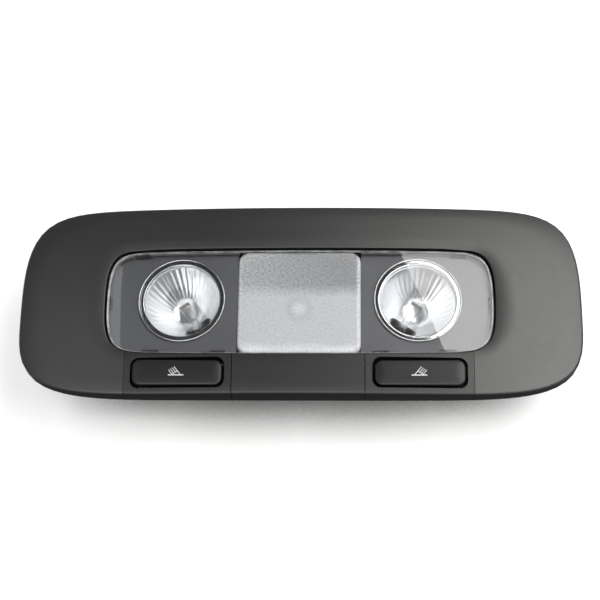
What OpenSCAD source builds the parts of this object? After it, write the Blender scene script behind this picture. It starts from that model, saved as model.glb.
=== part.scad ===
// Rear dome light of a car: a crowned oval bezel with one room light and two reading lights,
// each reading light switched by a push button in the strip below the lens.
// +X is to the right and +Y is up for someone who faces the light, and +Z comes out of its face.
// The origin lies midway between the reading lights, on the flat back of the housing.

/* [Face] */
// Overall width of the bezel
face_w = 210; // [204:1:218]
// Overall height of the bezel
face_h = 74.4; // [73:0.2:78]
// How far the widest line lies below the reading lights
widest_drop = 7.9; // [7:0.1:9]
// Overall depth, from the back of the housing to the crown of the face
depth = 40; // [40:0.5:44]
// Depth of the bezel, from its crown to the plane that meets the roof lining
rim_depth = 10.9; // [10.5:0.1:11.5]
// Radius of the crown from end to end
crown_rx = 980; // [900:10:1400]
// Radius of the crown from top to bottom
crown_ry = 340; // [320:10:500]
// Wall of the bezel and the panels
wall = 2.2; // [1.8:0.1:2.4]
// Rounding of the outer edge
edge_r = 0.9; // [0.6:0.1:1.3]

/* [Lens] */
// Width of the lens
lens_w = 144; // [142:0.5:145]
// Height of the lens at its middle
lens_h = 40.8; // [40.4:0.1:41.2]
// How far the middle of the lens lies below the reading lights
lens_drop = 1.5; // [1.2:0.1:1.7]
// How far the ends of the lens's lower edge rise
lens_bow = 1.3; // [0.8:0.1:1.8]
// Thickness of the lens
lens_t = 2; // [1.6:0.1:2.2]
// How far the lens lies below the bezel's face
lens_recess = 0.8; // [0.5:0.1:1.0]
// Gap between the lens and the bezel
lens_gap = 0.8; // [0.6:0.1:0.9]
// Gap between the lens and the strip panels below it
lens_low_gap = 0.3; // [0.2:0.05:0.4]

/* [Lamps] */
// Distance of each reading light from the middle
lamp_x = 44.1; // [43.6:0.1:44.6]
// Outer radius of the trim rings
ring_r = 16.4; // [16:0.1:16.8]
// Radius of the reflectors' opening
dish_r = 14.1; // [13.8:0.1:14.3]
// Depth of the reflectors
dish_depth = 14; // [12:0.5:15]
// Lean of the reading bulbs from their reflectors' axes, towards the lower inner side
bulb_lean = 65; // [60:1:68]
// Direction in which the reading bulbs lean, in degrees below the horizontal
bulb_turn = 55; // [50:1:60]
// Number of flutes in a reflector
flutes = 36; // [24:1:40]
// Radius of the glass of the wedge bulbs
bulb_r = 5.1; // [4.8:0.1:5.2]
// What the depth holds besides a bulb: the lens and diffuser above it, its foot and the floor below
bulb_room = 13.2; // [13.2:0.1:15]
// Half the width of the frosted diffuser
diffuser_x = 22.7; // [22:0.1:22.8]

/* [Buttons] */
// Height of the strip between the lens and the bezel's lower edge, at the middle
strip_h = 15.3; // [15:0.1:16]
// Distance of each button from the middle
button_x = 44.5; // [44:0.1:45]
// How far the buttons lie below the lens's lower edge
button_low = 7.2; // [7:0.1:7.4]
// Width of a button
button_w = 33.1; // [32:0.1:33.6]
// Height of a button
button_h = 9.7; // [9.2:0.1:9.9]
// Gap round a button
button_gap = 0.9; // [0.6:0.1:1.0]
// How far a button stands proud of its panel
button_proud = 0.6; // [0.3:0.1:0.9]
// Travel of a button
travel = 1.8; // [1.2:0.1:1.9]
// Distance of the switch panels' outer seams from the middle
seam_outer = 64.4; // [63.8:0.1:65]
// Distance of the switch panels' inner seams from the middle
seam_inner = 24.4; // [23.8:0.1:25]
// Width of the seams between the panels
seam_gap = 0.3; // [0.2:0.05:0.4]

/* [Housing] */
// Width of the housing
case_w = 156; // [153:1:158]
// Distance of the housing's top wall from the reading lights
case_top = 26.5; // [26:0.5:28]
// Distance of the housing's bottom wall from the reading lights
case_bottom = 22.5; // [22.2:0.1:22.6]
// Wall of the housing
case_wall = 1.8; // [1.5:0.1:2]
// Floor of the housing
case_floor = 3; // [2.8:0.1:3.2]
// Width of the contact strips
strip_w = 3; // [2.5:0.1:3.4]
// Thickness of the contact strips
strip_t = 0.8; // [0.5:0.1:1]
// Radius of the screws' shanks
screw_r = 1.2; // [1:0.1:1.3]
// Thickness of the roof clips' spring steel
clip_t = 0.8; // [0.6:0.1:1]

/* [Hidden] */

fit = 0.3;
touch = 0.05;
bite = 0.6;
rim_z = depth - rim_depth;
lens_low = lens_drop + lens_h / 2;
low_edge = lens_low + strip_h;
button_drop = lens_low + button_low;
bulb_len = depth - bulb_room;
crown_y = -1.4;
crown_fn = 720;

// The outline is a superellipse in each half, fuller above the widest line than below it.
outline = [face_w / 2, face_h - low_edge + widest_drop, low_edge - widest_drop, -widest_drop,
    11, 3.54, 7.2, 3.39, 0];
lens_edge = [lens_w / 2, lens_h / 2, lens_h / 2, -lens_drop, 20, 3, 20, 3, lens_bow];
function grown(o, g, low) = [o[0] + g, o[1] + g, o[2] + low, o[3], o[4], o[5], o[6], o[7], o[8]];
opening = grown(lens_edge, lens_gap, lens_low_gap);
carrier_edge = grown(lens_edge, lens_gap - fit, 0);

face_drop = [lens_recess, lens_recess + lens_t];
carrier_rim_h = 1.5;
plate_t = 1.6;
plate_top = face_drop[1] + carrier_rim_h;
plate_bottom = plate_top + plate_t;
ledge_w = 1;
ledge_t = 1.2;
ledge_top = plate_bottom + touch;
flange_bottom = ledge_top + ledge_t;
sill_t = 1.5;
sill_top = rim_z + sill_t;
case_z = rim_z;

function crown(x, y) = depth - x * x / (2 * crown_rx) - pow(y - crown_y, 2) / (2 * crown_ry);

// Where a ray from a point leaves an outline, found by halving.
function inside(o, x, y) = let(up = y > o[3], lift = up ? 0 : o[8] * pow(x / o[0], 2))
    let(v = abs(y - lift - o[3]) / (up ? o[1] : o[2]))
    pow(abs(x) / o[0], up ? o[4] : o[6]) + pow(v, up ? o[5] : o[7]) < 1;
function reach(o, p, d, lo = 0, hi = face_w, n = 27) = n == 0 ? lo
    : inside(o, p[0] + d[0] * (lo + hi) / 2, p[1] + d[1] * (lo + hi) / 2)
        ? reach(o, p, d, (lo + hi) / 2, hi, n - 1) : reach(o, p, d, lo, (lo + hi) / 2, n - 1);
function hit(o, p, d) = p + d * reach(o, p, d);

// The outward direction of an outline at one of its points, measured across a short chord.
function normal_at(o, q, c = [0, 0]) = let(r = q - c, e = 0.02, s = norm(r))
    let(u = [r[0] * cos(e * 57) - r[1] * sin(e * 57), r[0] * sin(e * 57) + r[1] * cos(e * 57)])
    let(v = [r[0] * cos(e * 57) + r[1] * sin(e * 57), r[1] * cos(e * 57) - r[0] * sin(e * 57)])
    let(t = hit(o, c, u / s) - hit(o, c, v / s)) [t[1], -t[0]] / norm(t);

// Stations of the bezel: a fan of rays round each end and parallel rays along the top.
end_x = seam_outer;
end_rays = 36;
top_rays = 12;
function end_ray(side, i) = let(a = -90 + 180 * i / end_rays)
    [[side * end_x, -lens_drop], [side * cos(a), sin(a)]];
function bezel_rays() = concat(
    [for (i = [0 : end_rays]) end_ray(1, i)],
    [for (i = [1 : top_rays - 1]) [[end_x * (1 - 2 * i / top_rays), -lens_drop], [0, 1]]],
    [for (i = [0 : end_rays]) end_ray(-1, end_rays - i)]);

// One section through the bezel or a panel: opening wall, crowned face, rolled edge, outer wall.
face_steps = 4;
roll_steps = 4;
function at_depth(p, d) = [p[0], p[1], crown(p[0], p[1]) - d];
lip = 0.35;
function section(ray, flat, ledge) =
    let(i = hit(opening, ray[0], ray[1]), o = hit(outline, ray[0], ray[1]))
    let(m = flat ? ray[1] : normal_at(opening, i, ray[0]))
    let(n = flat ? ray[1] : normal_at(outline, o, ray[0]))
    let(a = i + m * lip, b = o - n * edge_r, u = i + m * wall, v = o - n * wall)
    concat(
        ledge ? [at_depth(i - m * ledge_w, flange_bottom), at_depth(i - m * ledge_w, ledge_top),
            at_depth(i, ledge_top)] : [at_depth(i, flange_bottom)],
        [at_depth(i, lip), at_depth(i + m * lip * 0.3, lip * 0.3)],
        [for (k = [0 : face_steps]) at_depth(a + (b - a) * k / face_steps, 0)],
        [for (k = [1 : roll_steps]) let(w = 90 * k / roll_steps)
            at_depth(b + n * edge_r * sin(w), edge_r * (1 - cos(w)))],
        [[o[0], o[1], rim_z], [v[0], v[1], rim_z], at_depth(v, wall)],
        [at_depth((u + v) / 2, wall), at_depth(u, wall), at_depth(u, flange_bottom)]);

// The end of such a section as convex pieces; c is the number of the ledge's points before it.
function section_caps(c) = let(m = 3 + face_steps / 2, f = 3 + face_steps, r = f + roll_steps)
    let(v = r + 3, mid = r + 4, u = r + 5)
    let(pieces = [[0, 1, 2, 3, u, u + 1], concat([for (k = [3 : m]) k], [mid, u]),
        concat([for (k = [m : f]) k], [v, mid]), concat([for (k = [f : r]) k], [v]),
        [r, r + 1, r + 2, v]])
    concat(c > 0 ? [[0, 1, 2, u + 1 + c]] : [], [for (piece = pieces) [for (k = piece) k + c]]);

// A skin through a row of sections, closed at both ends by the caps, or by whole sections.
module loft(rows, caps = []) {
    n = len(rows[0]);
    last = len(rows) - 1;
    ends = len(caps) > 0 ? caps : [[for (k = [0 : n - 1]) k]];
    faces = concat(
        ends,
        [for (end = ends) [for (k = [len(end) - 1 : -1 : 0]) last * n + end[k]]],
        [for (j = [0 : last - 1], k = [0 : n - 1])
            [j * n + k, (j + 1) * n + k, (j + 1) * n + (k + 1) % n]],
        [for (j = [0 : last - 1], k = [0 : n - 1])
            [j * n + k, (j + 1) * n + (k + 1) % n, j * n + (k + 1) % n]]);
    polyhedron([for (r = rows, p = r) p], faces, convexity = 8);
}

function ring_points(o, n) = [for (k = [0 : n - 1]) let(a = 360 * k / n)
    let(d = [o[0] * cos(a), o[1] * sin(a)]) hit(o, [0, o[3]], d / norm(d))];

module rounded(w, h, r) {
    square([w, h - 2 * r], center = true);
    square([w - 2 * r, h], center = true);
    for (x = [-1, 1], y = [-1, 1])
        translate([x * (w / 2 - r), y * (h / 2 - r)])
            circle(r, $fn = 32);
}

// The solid that lies between two copies of the crowned face, each lowered by its own depth.
module crown_layer(top, bottom) {
    half = asin(face_w / 2 / crown_rx) + 1;
    difference() {
        translate([0, 0, -top]) crown_body(half, 20);
        translate([0, 0, -bottom]) crown_body(half + 1, 30);
    }
}

module crown_body(half, thick) {
    translate([0, crown_y, depth - crown_rx])
        rotate([0, 0, 90]) rotate([0, -90, 0]) rotate([0, 0, -half])
            rotate_extrude(angle = 2 * half, $fn = crown_fn)
                intersection() {
                    translate([crown_rx - crown_ry, 0]) circle(crown_ry, $fn = crown_fn);
                    translate([crown_rx - thick, -face_h]) square([thick + 1, 2 * face_h]);
                }
}

// Moves a reading light's parts from their own axis to their place, square to the crowned face.
lamp_tilt = asin(lamp_x / crown_rx);
lamp_z = crown(lamp_x, 0) - plate_top;
module at_lamp(side) {
    translate([side * lamp_x, 0, lamp_z]) rotate([0, side * lamp_tilt, 0]) children();
}

// Bezel
boss_r = 3.6;
boss_x = (face_w + case_w) / 4 - 1.5;
boss_y = [14, -12];
bosses = [for (s = [1, -1], y = boss_y) [s * boss_x, y]];
screw_bite = 4.6;
module bezel() color([0.16, 0.16, 0.17]) {
    rays = bezel_rays();
    difference() {
        union() {
            loft([for (k = [0 : len(rays) - 1]) section(rays[k], k == 0 || k == len(rays) - 1, true)],
                section_caps(2));
            for (b = bosses)
                translate([b[0], b[1], rim_z])
                    cylinder(r = boss_r, h = crown(b[0], b[1]) - wall + bite - rim_z, $fn = 32);
        }
        for (b = bosses)
            translate([b[0], b[1], rim_z - 1])
                cylinder(r = screw_r + touch, h = screw_bite + 1.4, $fn = 32);
    }
}

// Strip frame: the ladder behind the strip that carries the panels and the switches. Its posts
// stand under the bezel's face at both ends of the strip.
sill_top_y = -lens_low - 2.1;
sill_low_y = -low_edge + 2.7;
window_w = 26.4;
window_h = 8.4;
post_t = 2.6;
module strip_frame() color([0.2, 0.2, 0.21]) {
    end = seam_outer + 0.4 + post_t;
    difference() {
        translate([-end, sill_low_y, rim_z])
            cube([2 * end, sill_top_y - sill_low_y, sill_t]);
        for (s = [-1, 1])
            translate([s * button_x - window_w / 2, -button_drop - window_h / 2, rim_z - 1])
                cube([window_w, window_h, sill_t + 2]);
    }
    for (s = [-1, 1])
        translate([s > 0 ? end - post_t : -end, sill_low_y, rim_z])
            cube([post_t, sill_top_y - sill_low_y, crown(end, sill_low_y) - wall - touch - rim_z]);
}

// Strip panels
panel_steps = 6;
rib_t = 1.6;
rib_in = 0.6;
rib_bury = wall - 1;
module panel(x0, x1) {
    a = x0 + seam_gap / 2;
    b = x1 - seam_gap / 2;
    loft([for (k = [0 : panel_steps])
        section([[a + (b - a) * k / panel_steps, -lens_drop], [0, -1]], true, false)], section_caps(0));
    for (x = [a + rib_in, b - rib_in - rib_t])
        translate([x, 0, 0]) panel_rib(x + rib_t / 2);
}

// A rib across a panel's underside that stands on the sill.
module panel_rib(x) {
    top = hit(opening, [x, -lens_drop], [0, -1])[1] - rib_bury;
    low = hit(outline, [x, -lens_drop], [0, -1])[1] + rib_bury;
    inner = sill_low_y - fit;
    rotate([90, 0, 90])
        linear_extrude(rib_t)
            polygon([[top, crown(x, top) - rib_bury], [top, sill_top], [inner, sill_top],
                [inner, rim_z + fit], [low, rim_z + fit], [low, crown(x, low) - rib_bury]]);
}

// A low collar round the window guides the button's skirt.
collar_w = 0.8;
collar_h = 3.9;
button_corner = 2.9;
module window_shape(grow)
    rounded(button_w + 2 * (button_gap + grow), button_h + 2 * (button_gap + grow), button_corner + fit + grow);
module switch_panel(side) color([0.17, 0.17, 0.18]) difference() {
    union() {
        panel(side > 0 ? seam_inner : -seam_outer, side > 0 ? seam_outer : -seam_inner);
        translate([side * button_x, -button_drop, sill_top + 1.5])
            linear_extrude(collar_h) window_shape(collar_w);
    }
    translate([side * button_x, -button_drop, sill_top]) linear_extrude(depth) window_shape(0);
}

module left_switch_panel() switch_panel(-1);
module right_switch_panel() switch_panel(1);
module centre_panel() color([0.17, 0.17, 0.18]) panel(-seam_inner, seam_inner);

// Lens: one clear plate that follows the crown, with lugs that snap into the opening.
lug_w = 6;
lug_t = 1.2;
lug_inset = 0.35;
lug_top_x = lens_w / 2 - 12.5;
lug_low_x = lens_w / 2 - 17;
lug_mid_x = 30;
lug_places = [for (s = [-1, 1], p = [[lug_top_x, 1], [lug_low_x, -1], [lug_mid_x, -1]]) [s * p[0], p[1]]];
function lug_y(p) = hit(lens_edge, [p[0], -lens_drop], [0, p[1]])[1] - p[1] * (lug_t / 2 + lug_inset);
module lugs(grow) {
    for (p = lug_places)
        translate([p[0], lug_y(p)])
            square([lug_w + 2 * grow, lug_t + 2 * grow], center = true);
    for (s = [-1, 1])
        translate([s * (lens_w / 2 - lug_t / 2 - lug_inset), -lens_drop])
            square([lug_t + 2 * grow, lug_w + 2 * grow], center = true);
}

module lens() color([0.85, 0.88, 0.9, 0.35]) {
    intersection() {
        linear_extrude(depth + 1) polygon(ring_points(lens_edge, 96));
        crown_layer(face_drop[0], face_drop[1]);
    }
    intersection() {
        linear_extrude(depth + 1) lugs(0);
        crown_layer(face_drop[1] - lens_t / 2, plate_bottom);
    }
}

// Diffuser: a frosted cap with rounded edges over the room light.
diffuser_top_y = lens_h / 2 - lens_drop - 0.2;
diffuser_low_y = -lens_low + 0.5;
diffuser_h = diffuser_top_y - diffuser_low_y;
diffuser_mid = (diffuser_top_y + diffuser_low_y) / 2;
diffuser_wall = 1.4;
diffuser_corner = 4;
diffuser_roll = 1.6;
diffuser_base = rim_z + 1.9;
diffuser_top = crown(diffuser_x, diffuser_low_y) - face_drop[1] - 0.1;
// A block with rounded corners whose upper edge is rounded by e and whose top rises by dome.
corner_steps = 6;
function block_ring(w, h, r, z) = [for (q = [0 : 3], k = [0 : corner_steps])
    let(a = 90 * q + 90 * k / corner_steps, sx = q == 0 || q == 3 ? 1 : -1, sy = q < 2 ? 1 : -1)
    [sx * (w / 2 - r) + r * cos(a), sy * (h / 2 - r) + r * sin(a), z]];
module rounded_block(w, h, r, z0, z1, e, dome = 0) {
    flat_w = w - 2 * e;
    flat_h = h - 2 * e;
    loft(concat(
        [block_ring(w, h, r, z0)],
        [for (k = [4 : -1 : 0]) let(c = e * (1 - sin(22.5 * k)))
            block_ring(w - 2 * c, h - 2 * c, r - c, z1 - dome - e * (1 - cos(22.5 * k)))],
        [for (k = [1 : 3]) let(g = 0.85 * k / 3)
            block_ring(flat_w - flat_h * g, flat_h * (1 - g), (r - e) * (1 - 0.9 * g),
                z1 - dome * pow(1 - k / 3, 2))]));
}
module diffuser() color([0.9, 0.92, 0.93]) translate([0, diffuser_mid, 0]) difference() {
    rounded_block(2 * diffuser_x, diffuser_h, diffuser_corner, diffuser_base, diffuser_top, diffuser_roll);
    translate([0, 0, diffuser_base - 1])
        linear_extrude(diffuser_top - diffuser_wall - diffuser_base + 1)
            rounded(2 * (diffuser_x - diffuser_wall), diffuser_h - 2 * diffuser_wall,
                diffuser_corner - diffuser_roll);
}

// Lamp carrier: the dark plate under the lens, with a seat for each reading light and a well
// for the diffuser.
seat_r = ring_r - 1;
well_x = diffuser_x + fit;
well_t = 1.6;
well_wall = 1.5;
well_low = diffuser_base - well_t;
carrier_wall = 1.4;
module lamp_carrier() color([0.3, 0.3, 0.32]) {
    difference() {
        intersection() {
            linear_extrude(depth + 1) polygon(ring_points(carrier_edge, 96));
            crown_layer(face_drop[1] + touch, plate_bottom);
        }
        intersection() {
            linear_extrude(depth + 1)
                polygon(ring_points(grown(carrier_edge, -carrier_wall, fit / 2 - carrier_wall), 96));
            crown_layer(0, plate_top);
        }
        linear_extrude(depth + 1) lugs(fit / 2);
        translate([-well_x, -lens_h, 0]) cube([2 * well_x, 2 * lens_h, depth + 1]);
        for (s = [-1, 1])
            at_lamp(s) translate([0, 0, -2 * plate_t]) cylinder(r = seat_r, h = 4 * plate_t, $fn = 64);
    }
    for (s = [-1, 1])
        translate([s > 0 ? well_x : -well_x - well_wall, diffuser_low_y + 0.4, well_low])
            cube([well_wall, diffuser_h - 1.2, crown(well_x, diffuser_low_y) - plate_bottom + bite - well_low]);
    translate([0, 0, well_low]) linear_extrude(diffuser_base - well_low) difference() {
        translate([-well_x - 0.4, diffuser_low_y + 0.4]) square([2 * well_x + 0.8, diffuser_h - 1.2]);
        translate([0, diffuser_mid]) rounded(2 * (diffuser_x - 2), diffuser_h - 5, 2);
    }
}

// Light chamber: the white box round the room bulb.
chamber_h = diffuser_h - 3.4;
module light_chamber() color([0.93, 0.93, 0.92]) translate([0, diffuser_mid, 0]) difference() {
    translate([0, 0, case_floor]) linear_extrude(well_low - case_floor)
        rounded(2 * (diffuser_x - 0.6), chamber_h, 3);
    translate([0, 0, room_floor]) linear_extrude(depth)
        rounded(2 * (diffuser_x - 2), chamber_h - 2.8, 2);
    translate([0, 0, case_floor - 1]) linear_extrude(room_floor - case_floor - 1)
        rounded(2 * (diffuser_x - 2), chamber_h - 2.8, 2);
    translate([0, room_y - diffuser_mid, 0]) cylinder(r = holder_neck + 0.1, h = depth, $fn = 48);
}

// Trim ring: polished, with a rounded rim and a sloping inner face.
ring_roll = 0.4;
ring_rise = 0.42;
ring_sink = 1.9;
module trim_ring(side) color([0.85, 0.86, 0.88]) at_lamp(side) rotate_extrude($fn = 96) {
    polygon([[ring_r - ring_roll, 0.1], [ring_r - ring_roll, ring_rise], [ring_r - 0.75, ring_rise + 0.13],
        [dish_r + 0.15, 0.6 - ring_sink], [dish_r + 0.15, -ring_sink], [seat_r - 0.1, -ring_sink],
        [seat_r - 0.1, 0.1]]);
    translate([ring_r - ring_roll, ring_rise]) circle(ring_roll, $fn = 32);
}
module left_trim_ring() trim_ring(-1);
module right_trim_ring() trim_ring(1);

// Reflector: a dish with soft flutes and a slanting neck that takes the bulb holder from the side.
dish_top = -2;
dish_wall = 1.1;
dish_floor_r = 2.5;
holder_neck = 7.1;
neck_wall = 1.2;
neck_from = 9;
neck_to = 15;
plug_from = 12.2;
neck_len = neck_to - plug_from;
bulb_hole_r = bulb_r + 0.6;
dish_rows = 6;
flute_steps = 2;
function dish_radius(t) = dish_floor_r + (dish_r - dish_floor_r) * sqrt(t);
function dish_ring(t, n) = [for (k = [0 : n - 1])
    let(w = 0.035 * (t < 1 ? dish_radius(t) : 0) * (k % flute_steps == 0 ? 1 : -0.2), a = 360 * k / n)
    [(dish_radius(t) - w) * cos(a), (dish_radius(t) - w) * sin(a), dish_top - dish_depth * (1 - t)]];
module dish_cavity() {
    n = flutes * flute_steps;
    rings = concat([for (i = [dish_rows : -1 : 0]) dish_ring(i / dish_rows, n)]);
    points = concat([for (r = rings, p = r) p], [[0, 0, dish_top - dish_depth], [0, 0, dish_top]]);
    last = dish_rows * n;
    polyhedron(points, concat(
        [for (j = [0 : dish_rows - 1], k = [0 : n - 1])
            [j * n + k, j * n + (k + 1) % n, (j + 1) * n + (k + 1) % n]],
        [for (j = [0 : dish_rows - 1], k = [0 : n - 1])
            [j * n + k, (j + 1) * n + (k + 1) % n, (j + 1) * n + k]],
        [for (k = [0 : n - 1]) [last + k, last + (k + 1) % n, (dish_rows + 1) * n]],
        [for (k = [0 : n - 1]) [(k + 1) % n, k, (dish_rows + 1) * n + 1]]), convexity = 4);
}
// A flat-sided column that clears a round piece of the given radius.
column_sides = 24;
module tube_body(r, h) linear_extrude(h)
    polygon([for (k = [0 : column_sides - 1]) let(a = 360 * k / column_sides)
        r / cos(180 / column_sides) * [cos(a), sin(a)]]);
module reflector(side) color([0.9, 0.9, 0.92]) at_lamp(side) difference() {
    union() {
        rotate_extrude($fn = 96)
            polygon(concat([[0, dish_top], [seat_r - 0.15, dish_top], [seat_r - 0.15, dish_top - 1]],
                [for (t = [0.9 : -0.15 : 0]) [dish_radius(t) + dish_wall, dish_top - dish_depth * (1 - t)]],
                [[dish_floor_r, dish_top - dish_depth - dish_wall], [0, dish_top - dish_depth - dish_wall]]));
        at_bulb(side) translate([0, 0, -neck_to]) tube_body(holder_neck + neck_wall, neck_to - neck_from);
    }
    dish_cavity();
    at_bulb(side) translate([0, 0, -plug_from - 1]) tube_body(bulb_hole_r, plug_from - 3);
    at_bulb(side) translate([0, 0, -neck_to - 1]) tube_body(holder_neck, neck_len + 1.2);
}
module left_reflector() reflector(-1);
module right_reflector() reflector(1);

// Wedge bulb, with its tip at the top of its own axis. The reading bulbs lie slanting in their
// reflectors, turned about their filaments.
bulb_z = -6;
filament_down = 8;
module at_bulb(side) translate([0, 0, bulb_z])
    rotate([0, 0, side > 0 ? bulb_turn - 180 : -bulb_turn]) rotate([0, -bulb_lean, 0]) children();
wedge_len = 7.5;
wedge_t = 2.2;
bulb_seat = 0.9;
module bulb_shape() {
    rotate_extrude($fn = 64) intersection() {
        union() {
            translate([0, -bulb_r]) circle(bulb_r, $fn = 64);
            translate([0, wedge_len - bulb_len]) square([bulb_r, bulb_len - wedge_len - bulb_r]);
        }
        translate([0, -bulb_len]) square([bulb_r + 1, bulb_len]);
    }
    translate([-bulb_r + 0.6, -wedge_t / 2, -bulb_len]) cube([2 * bulb_r - 1.2, wedge_t, wedge_len + 0.5]);
}
module reading_bulb(side) color([0.9, 0.93, 0.95, 0.5]) at_lamp(side) at_bulb(side)
    translate([0, 0, filament_down]) bulb_shape();
module left_bulb() reading_bulb(-1);
module right_bulb() reading_bulb(1);

// Bulb holder: a round plug with a slot for the wedge, two contacts' windows and a flange.
flange_w = 1.4;
holder_flange_t = 1.5;
holder_foot = 0.8;
module holder_shape(plug_top, foot) {
    difference() {
        union() {
            translate([0, 0, foot]) cylinder(r = holder_neck - touch, h = plug_top - foot, $fn = 64);
            translate([0, 0, plug_top - neck_len - holder_flange_t - 0.25])
                cylinder(r = holder_neck + flange_w, h = holder_flange_t, $fn = 64);
        }
        translate([0, 0, foot + holder_foot]) cylinder(r = bulb_r + touch, h = depth, $fn = 64);
    }
    difference() {
        translate([0, 0, foot])
            cylinder(r = bulb_r + bite, h = min(wedge_len + holder_foot, plug_top - foot), $fn = 64);
        translate([-bulb_r + 0.5, -wedge_t / 2 - 0.1, foot + holder_foot])
            cube([2 * bulb_r - 1, wedge_t + 0.2, wedge_len + 2]);
    }
}
lamp_foot = filament_down - bulb_len - bulb_seat;
module reading_holder(side) color([0.35, 0.33, 0.3]) at_lamp(side) at_bulb(side)
    holder_shape(-plug_from, lamp_foot);
module left_bulb_holder() reading_holder(-1);
module right_bulb_holder() reading_holder(1);

// Room light
room_y = -4;
room_tip = diffuser_top - diffuser_wall - 1;
room_foot = room_tip - bulb_len - bulb_seat;
chamber_deep = 9.25;
room_floor = well_low - chamber_deep;
module room_bulb() color([0.9, 0.93, 0.95, 0.5])
    translate([0, room_y, room_tip]) bulb_shape();
module room_bulb_holder() color([0.35, 0.33, 0.3])
    translate([0, room_y, 0]) holder_shape(room_floor, room_foot);

// Buttons
button_face = crown(button_x, -button_drop) + button_proud;
skirt = 3.6;
button_wall = 1.4;
button_roll = 0.7;
button_roof = 1.6;
module button(side) color([0.15, 0.15, 0.16]) translate([side * button_x, -button_drop, 0]) {
    difference() {
        rounded_block(button_w, button_h, button_corner, button_face - skirt, button_face, button_roll, 0.25);
        translate([0, 0, button_face - skirt - 1]) linear_extrude(skirt + 1 - button_roof)
            rounded(button_w - 2 * button_wall, button_h - 2 * button_wall, button_corner - button_wall);
    }
    translate([0, 0, plunger_top])
        cylinder(r = plunger_r + 0.2, h = button_face - button_roof + 0.4 - plunger_top, $fn = 32);
}
module left_button() button(-1);
module right_button() button(1);

// Switches: a body in the sill's window, a plunger and its spring.
switch_deep = 9;
switch_low = rim_z - switch_deep;
switch_ear = 1.5;
flange_t = 1.4;
plunger_r = 2;
plunger_top = sill_top + flange_t + travel + 0.2;
spring_low = switch_low + 1.2;
plunger_len = 5;
spring_top = plunger_top - plunger_len;
module switch_body(side) color([0.88, 0.87, 0.83]) translate([side * button_x, -button_drop, 0])
    difference() {
        union() {
            translate([-window_w / 2 + 0.2, -window_h / 2 + 0.2, switch_low])
                cube([window_w - 0.4, window_h - 0.4, sill_top + flange_t - switch_low]);
            translate([-window_w / 2 - switch_ear, -window_h / 2 - fit, sill_top])
                cube([window_w + 2 * switch_ear, window_h + 2 * fit, flange_t]);
        }
        translate([0, 0, spring_low])
            cylinder(r = plunger_r + touch, h = sill_top + flange_t, $fn = 48);
    }
module left_switch_body() switch_body(-1);
module right_switch_body() switch_body(1);

module plunger(side) color([0.8, 0.2, 0.15]) translate([side * button_x, -button_drop, 0]) {
    translate([0, 0, spring_top]) cylinder(r = plunger_r, h = plunger_top - spring_top, $fn = 48);
}
module left_plunger() plunger(-1);
module right_plunger() plunger(1);

spring_wire = 0.25;
spring_turns = 5;
function coil_point(t, a, r) = let(w = spring_r + r * cos(a))
    [w * cos(t), w * sin(t), spring_low + spring_wire + touch
        + (spring_top - spring_low - 2 * spring_wire - 2 * touch) * t / (360 * spring_turns) + r * sin(a)];
spring_r = plunger_r - spring_wire - 0.25;
module spring(side) color([0.7, 0.7, 0.72]) translate([side * button_x, -button_drop, 0])
    loft([for (k = [0 : spring_turns * 10]) [for (a = [0 : 72 : 288]) coil_point(36 * k, -a, spring_wire)]]);
module left_spring() spring(-1);
module right_spring() spring(1);

// Housing
case_h = case_top + case_bottom;
case_mid = (case_top - case_bottom) / 2;
case_corner = 10;
ear_t = 2;
ear_r = boss_r + 0.8;
rib_h = 5;
ribs = [28.5, case_w / 2 - 7.5];
socket_x = -33;
socket_w = 19;
socket_h = 11;
socket_z = 12.5;
socket_len = 9;
socket_wall = 1.6;
pin_pitch = 5;
pins = [socket_x - pin_pitch, socket_x, socket_x + pin_pitch];
module housing() color([0.9, 0.9, 0.88]) difference() {
    union() {
        translate([0, case_mid, 0]) difference() {
            linear_extrude(case_z) rounded(case_w, case_h, case_corner);
            translate([0, 0, case_floor]) linear_extrude(depth)
                rounded(case_w - 2 * case_wall, case_h - 2 * case_wall, case_corner - case_wall);
        }
        for (b = bosses) housing_ear(b);
        translate([socket_x - socket_w / 2 - socket_wall, case_top - case_wall,
            socket_z - socket_h / 2 - socket_wall])
            cube([socket_w + 2 * socket_wall, socket_len + case_wall, socket_h + 2 * socket_wall]);
        for (s = [-1, 1], x = ribs)
            translate([s * x - 0.5, -case_bottom + 1, case_floor - 1])
                cube([1, case_h - 2, rib_h + 1]);
    }
    translate([socket_x - socket_w / 2, case_top, socket_z - socket_h / 2])
        cube([socket_w, socket_len + 1, socket_h]);
    for (b = bosses)
        translate([b[0], b[1], 0]) cylinder(r = screw_r + 0.4, h = depth, $fn = 32);
    translate([0, 0, -1]) linear_extrude(1 + groove) strip_paths(0.2);
    strip_slots();
}

// An ear stands on the rim plane's back side and takes one screw from behind.
module housing_ear(b) {
    s = b[0] > 0 ? 1 : -1;
    translate([b[0], b[1], rim_z - ear_t]) cylinder(r = ear_r, h = ear_t, $fn = 32);
    translate([s > 0 ? case_w / 2 - 1 : b[0], b[1] - ear_r, rim_z - ear_t])
        cube([abs(b[0]) - case_w / 2 + 1, 2 * ear_r, ear_t]);
}

// Screws, from behind
head_r = 2.8;
head_t = 1.8;
slot_w = 0.6;
slot_deep = 1;
module housing_screws() color([0.75, 0.75, 0.78]) for (b = bosses)
    translate([b[0], b[1], rim_z - ear_t]) difference() {
        union() {
            cylinder(r = screw_r, h = ear_t + screw_bite, $fn = 32);
            translate([0, 0, -head_t]) cylinder(r = head_r, h = head_t, $fn = 32);
        }
        for (a = [0, 90]) rotate([0, 0, a]) translate([1.2 - head_r, -slot_w / 2, -head_t - 1])
            cube([2 * head_r - 2.4, slot_w, slot_deep + 1]);
    }

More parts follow.
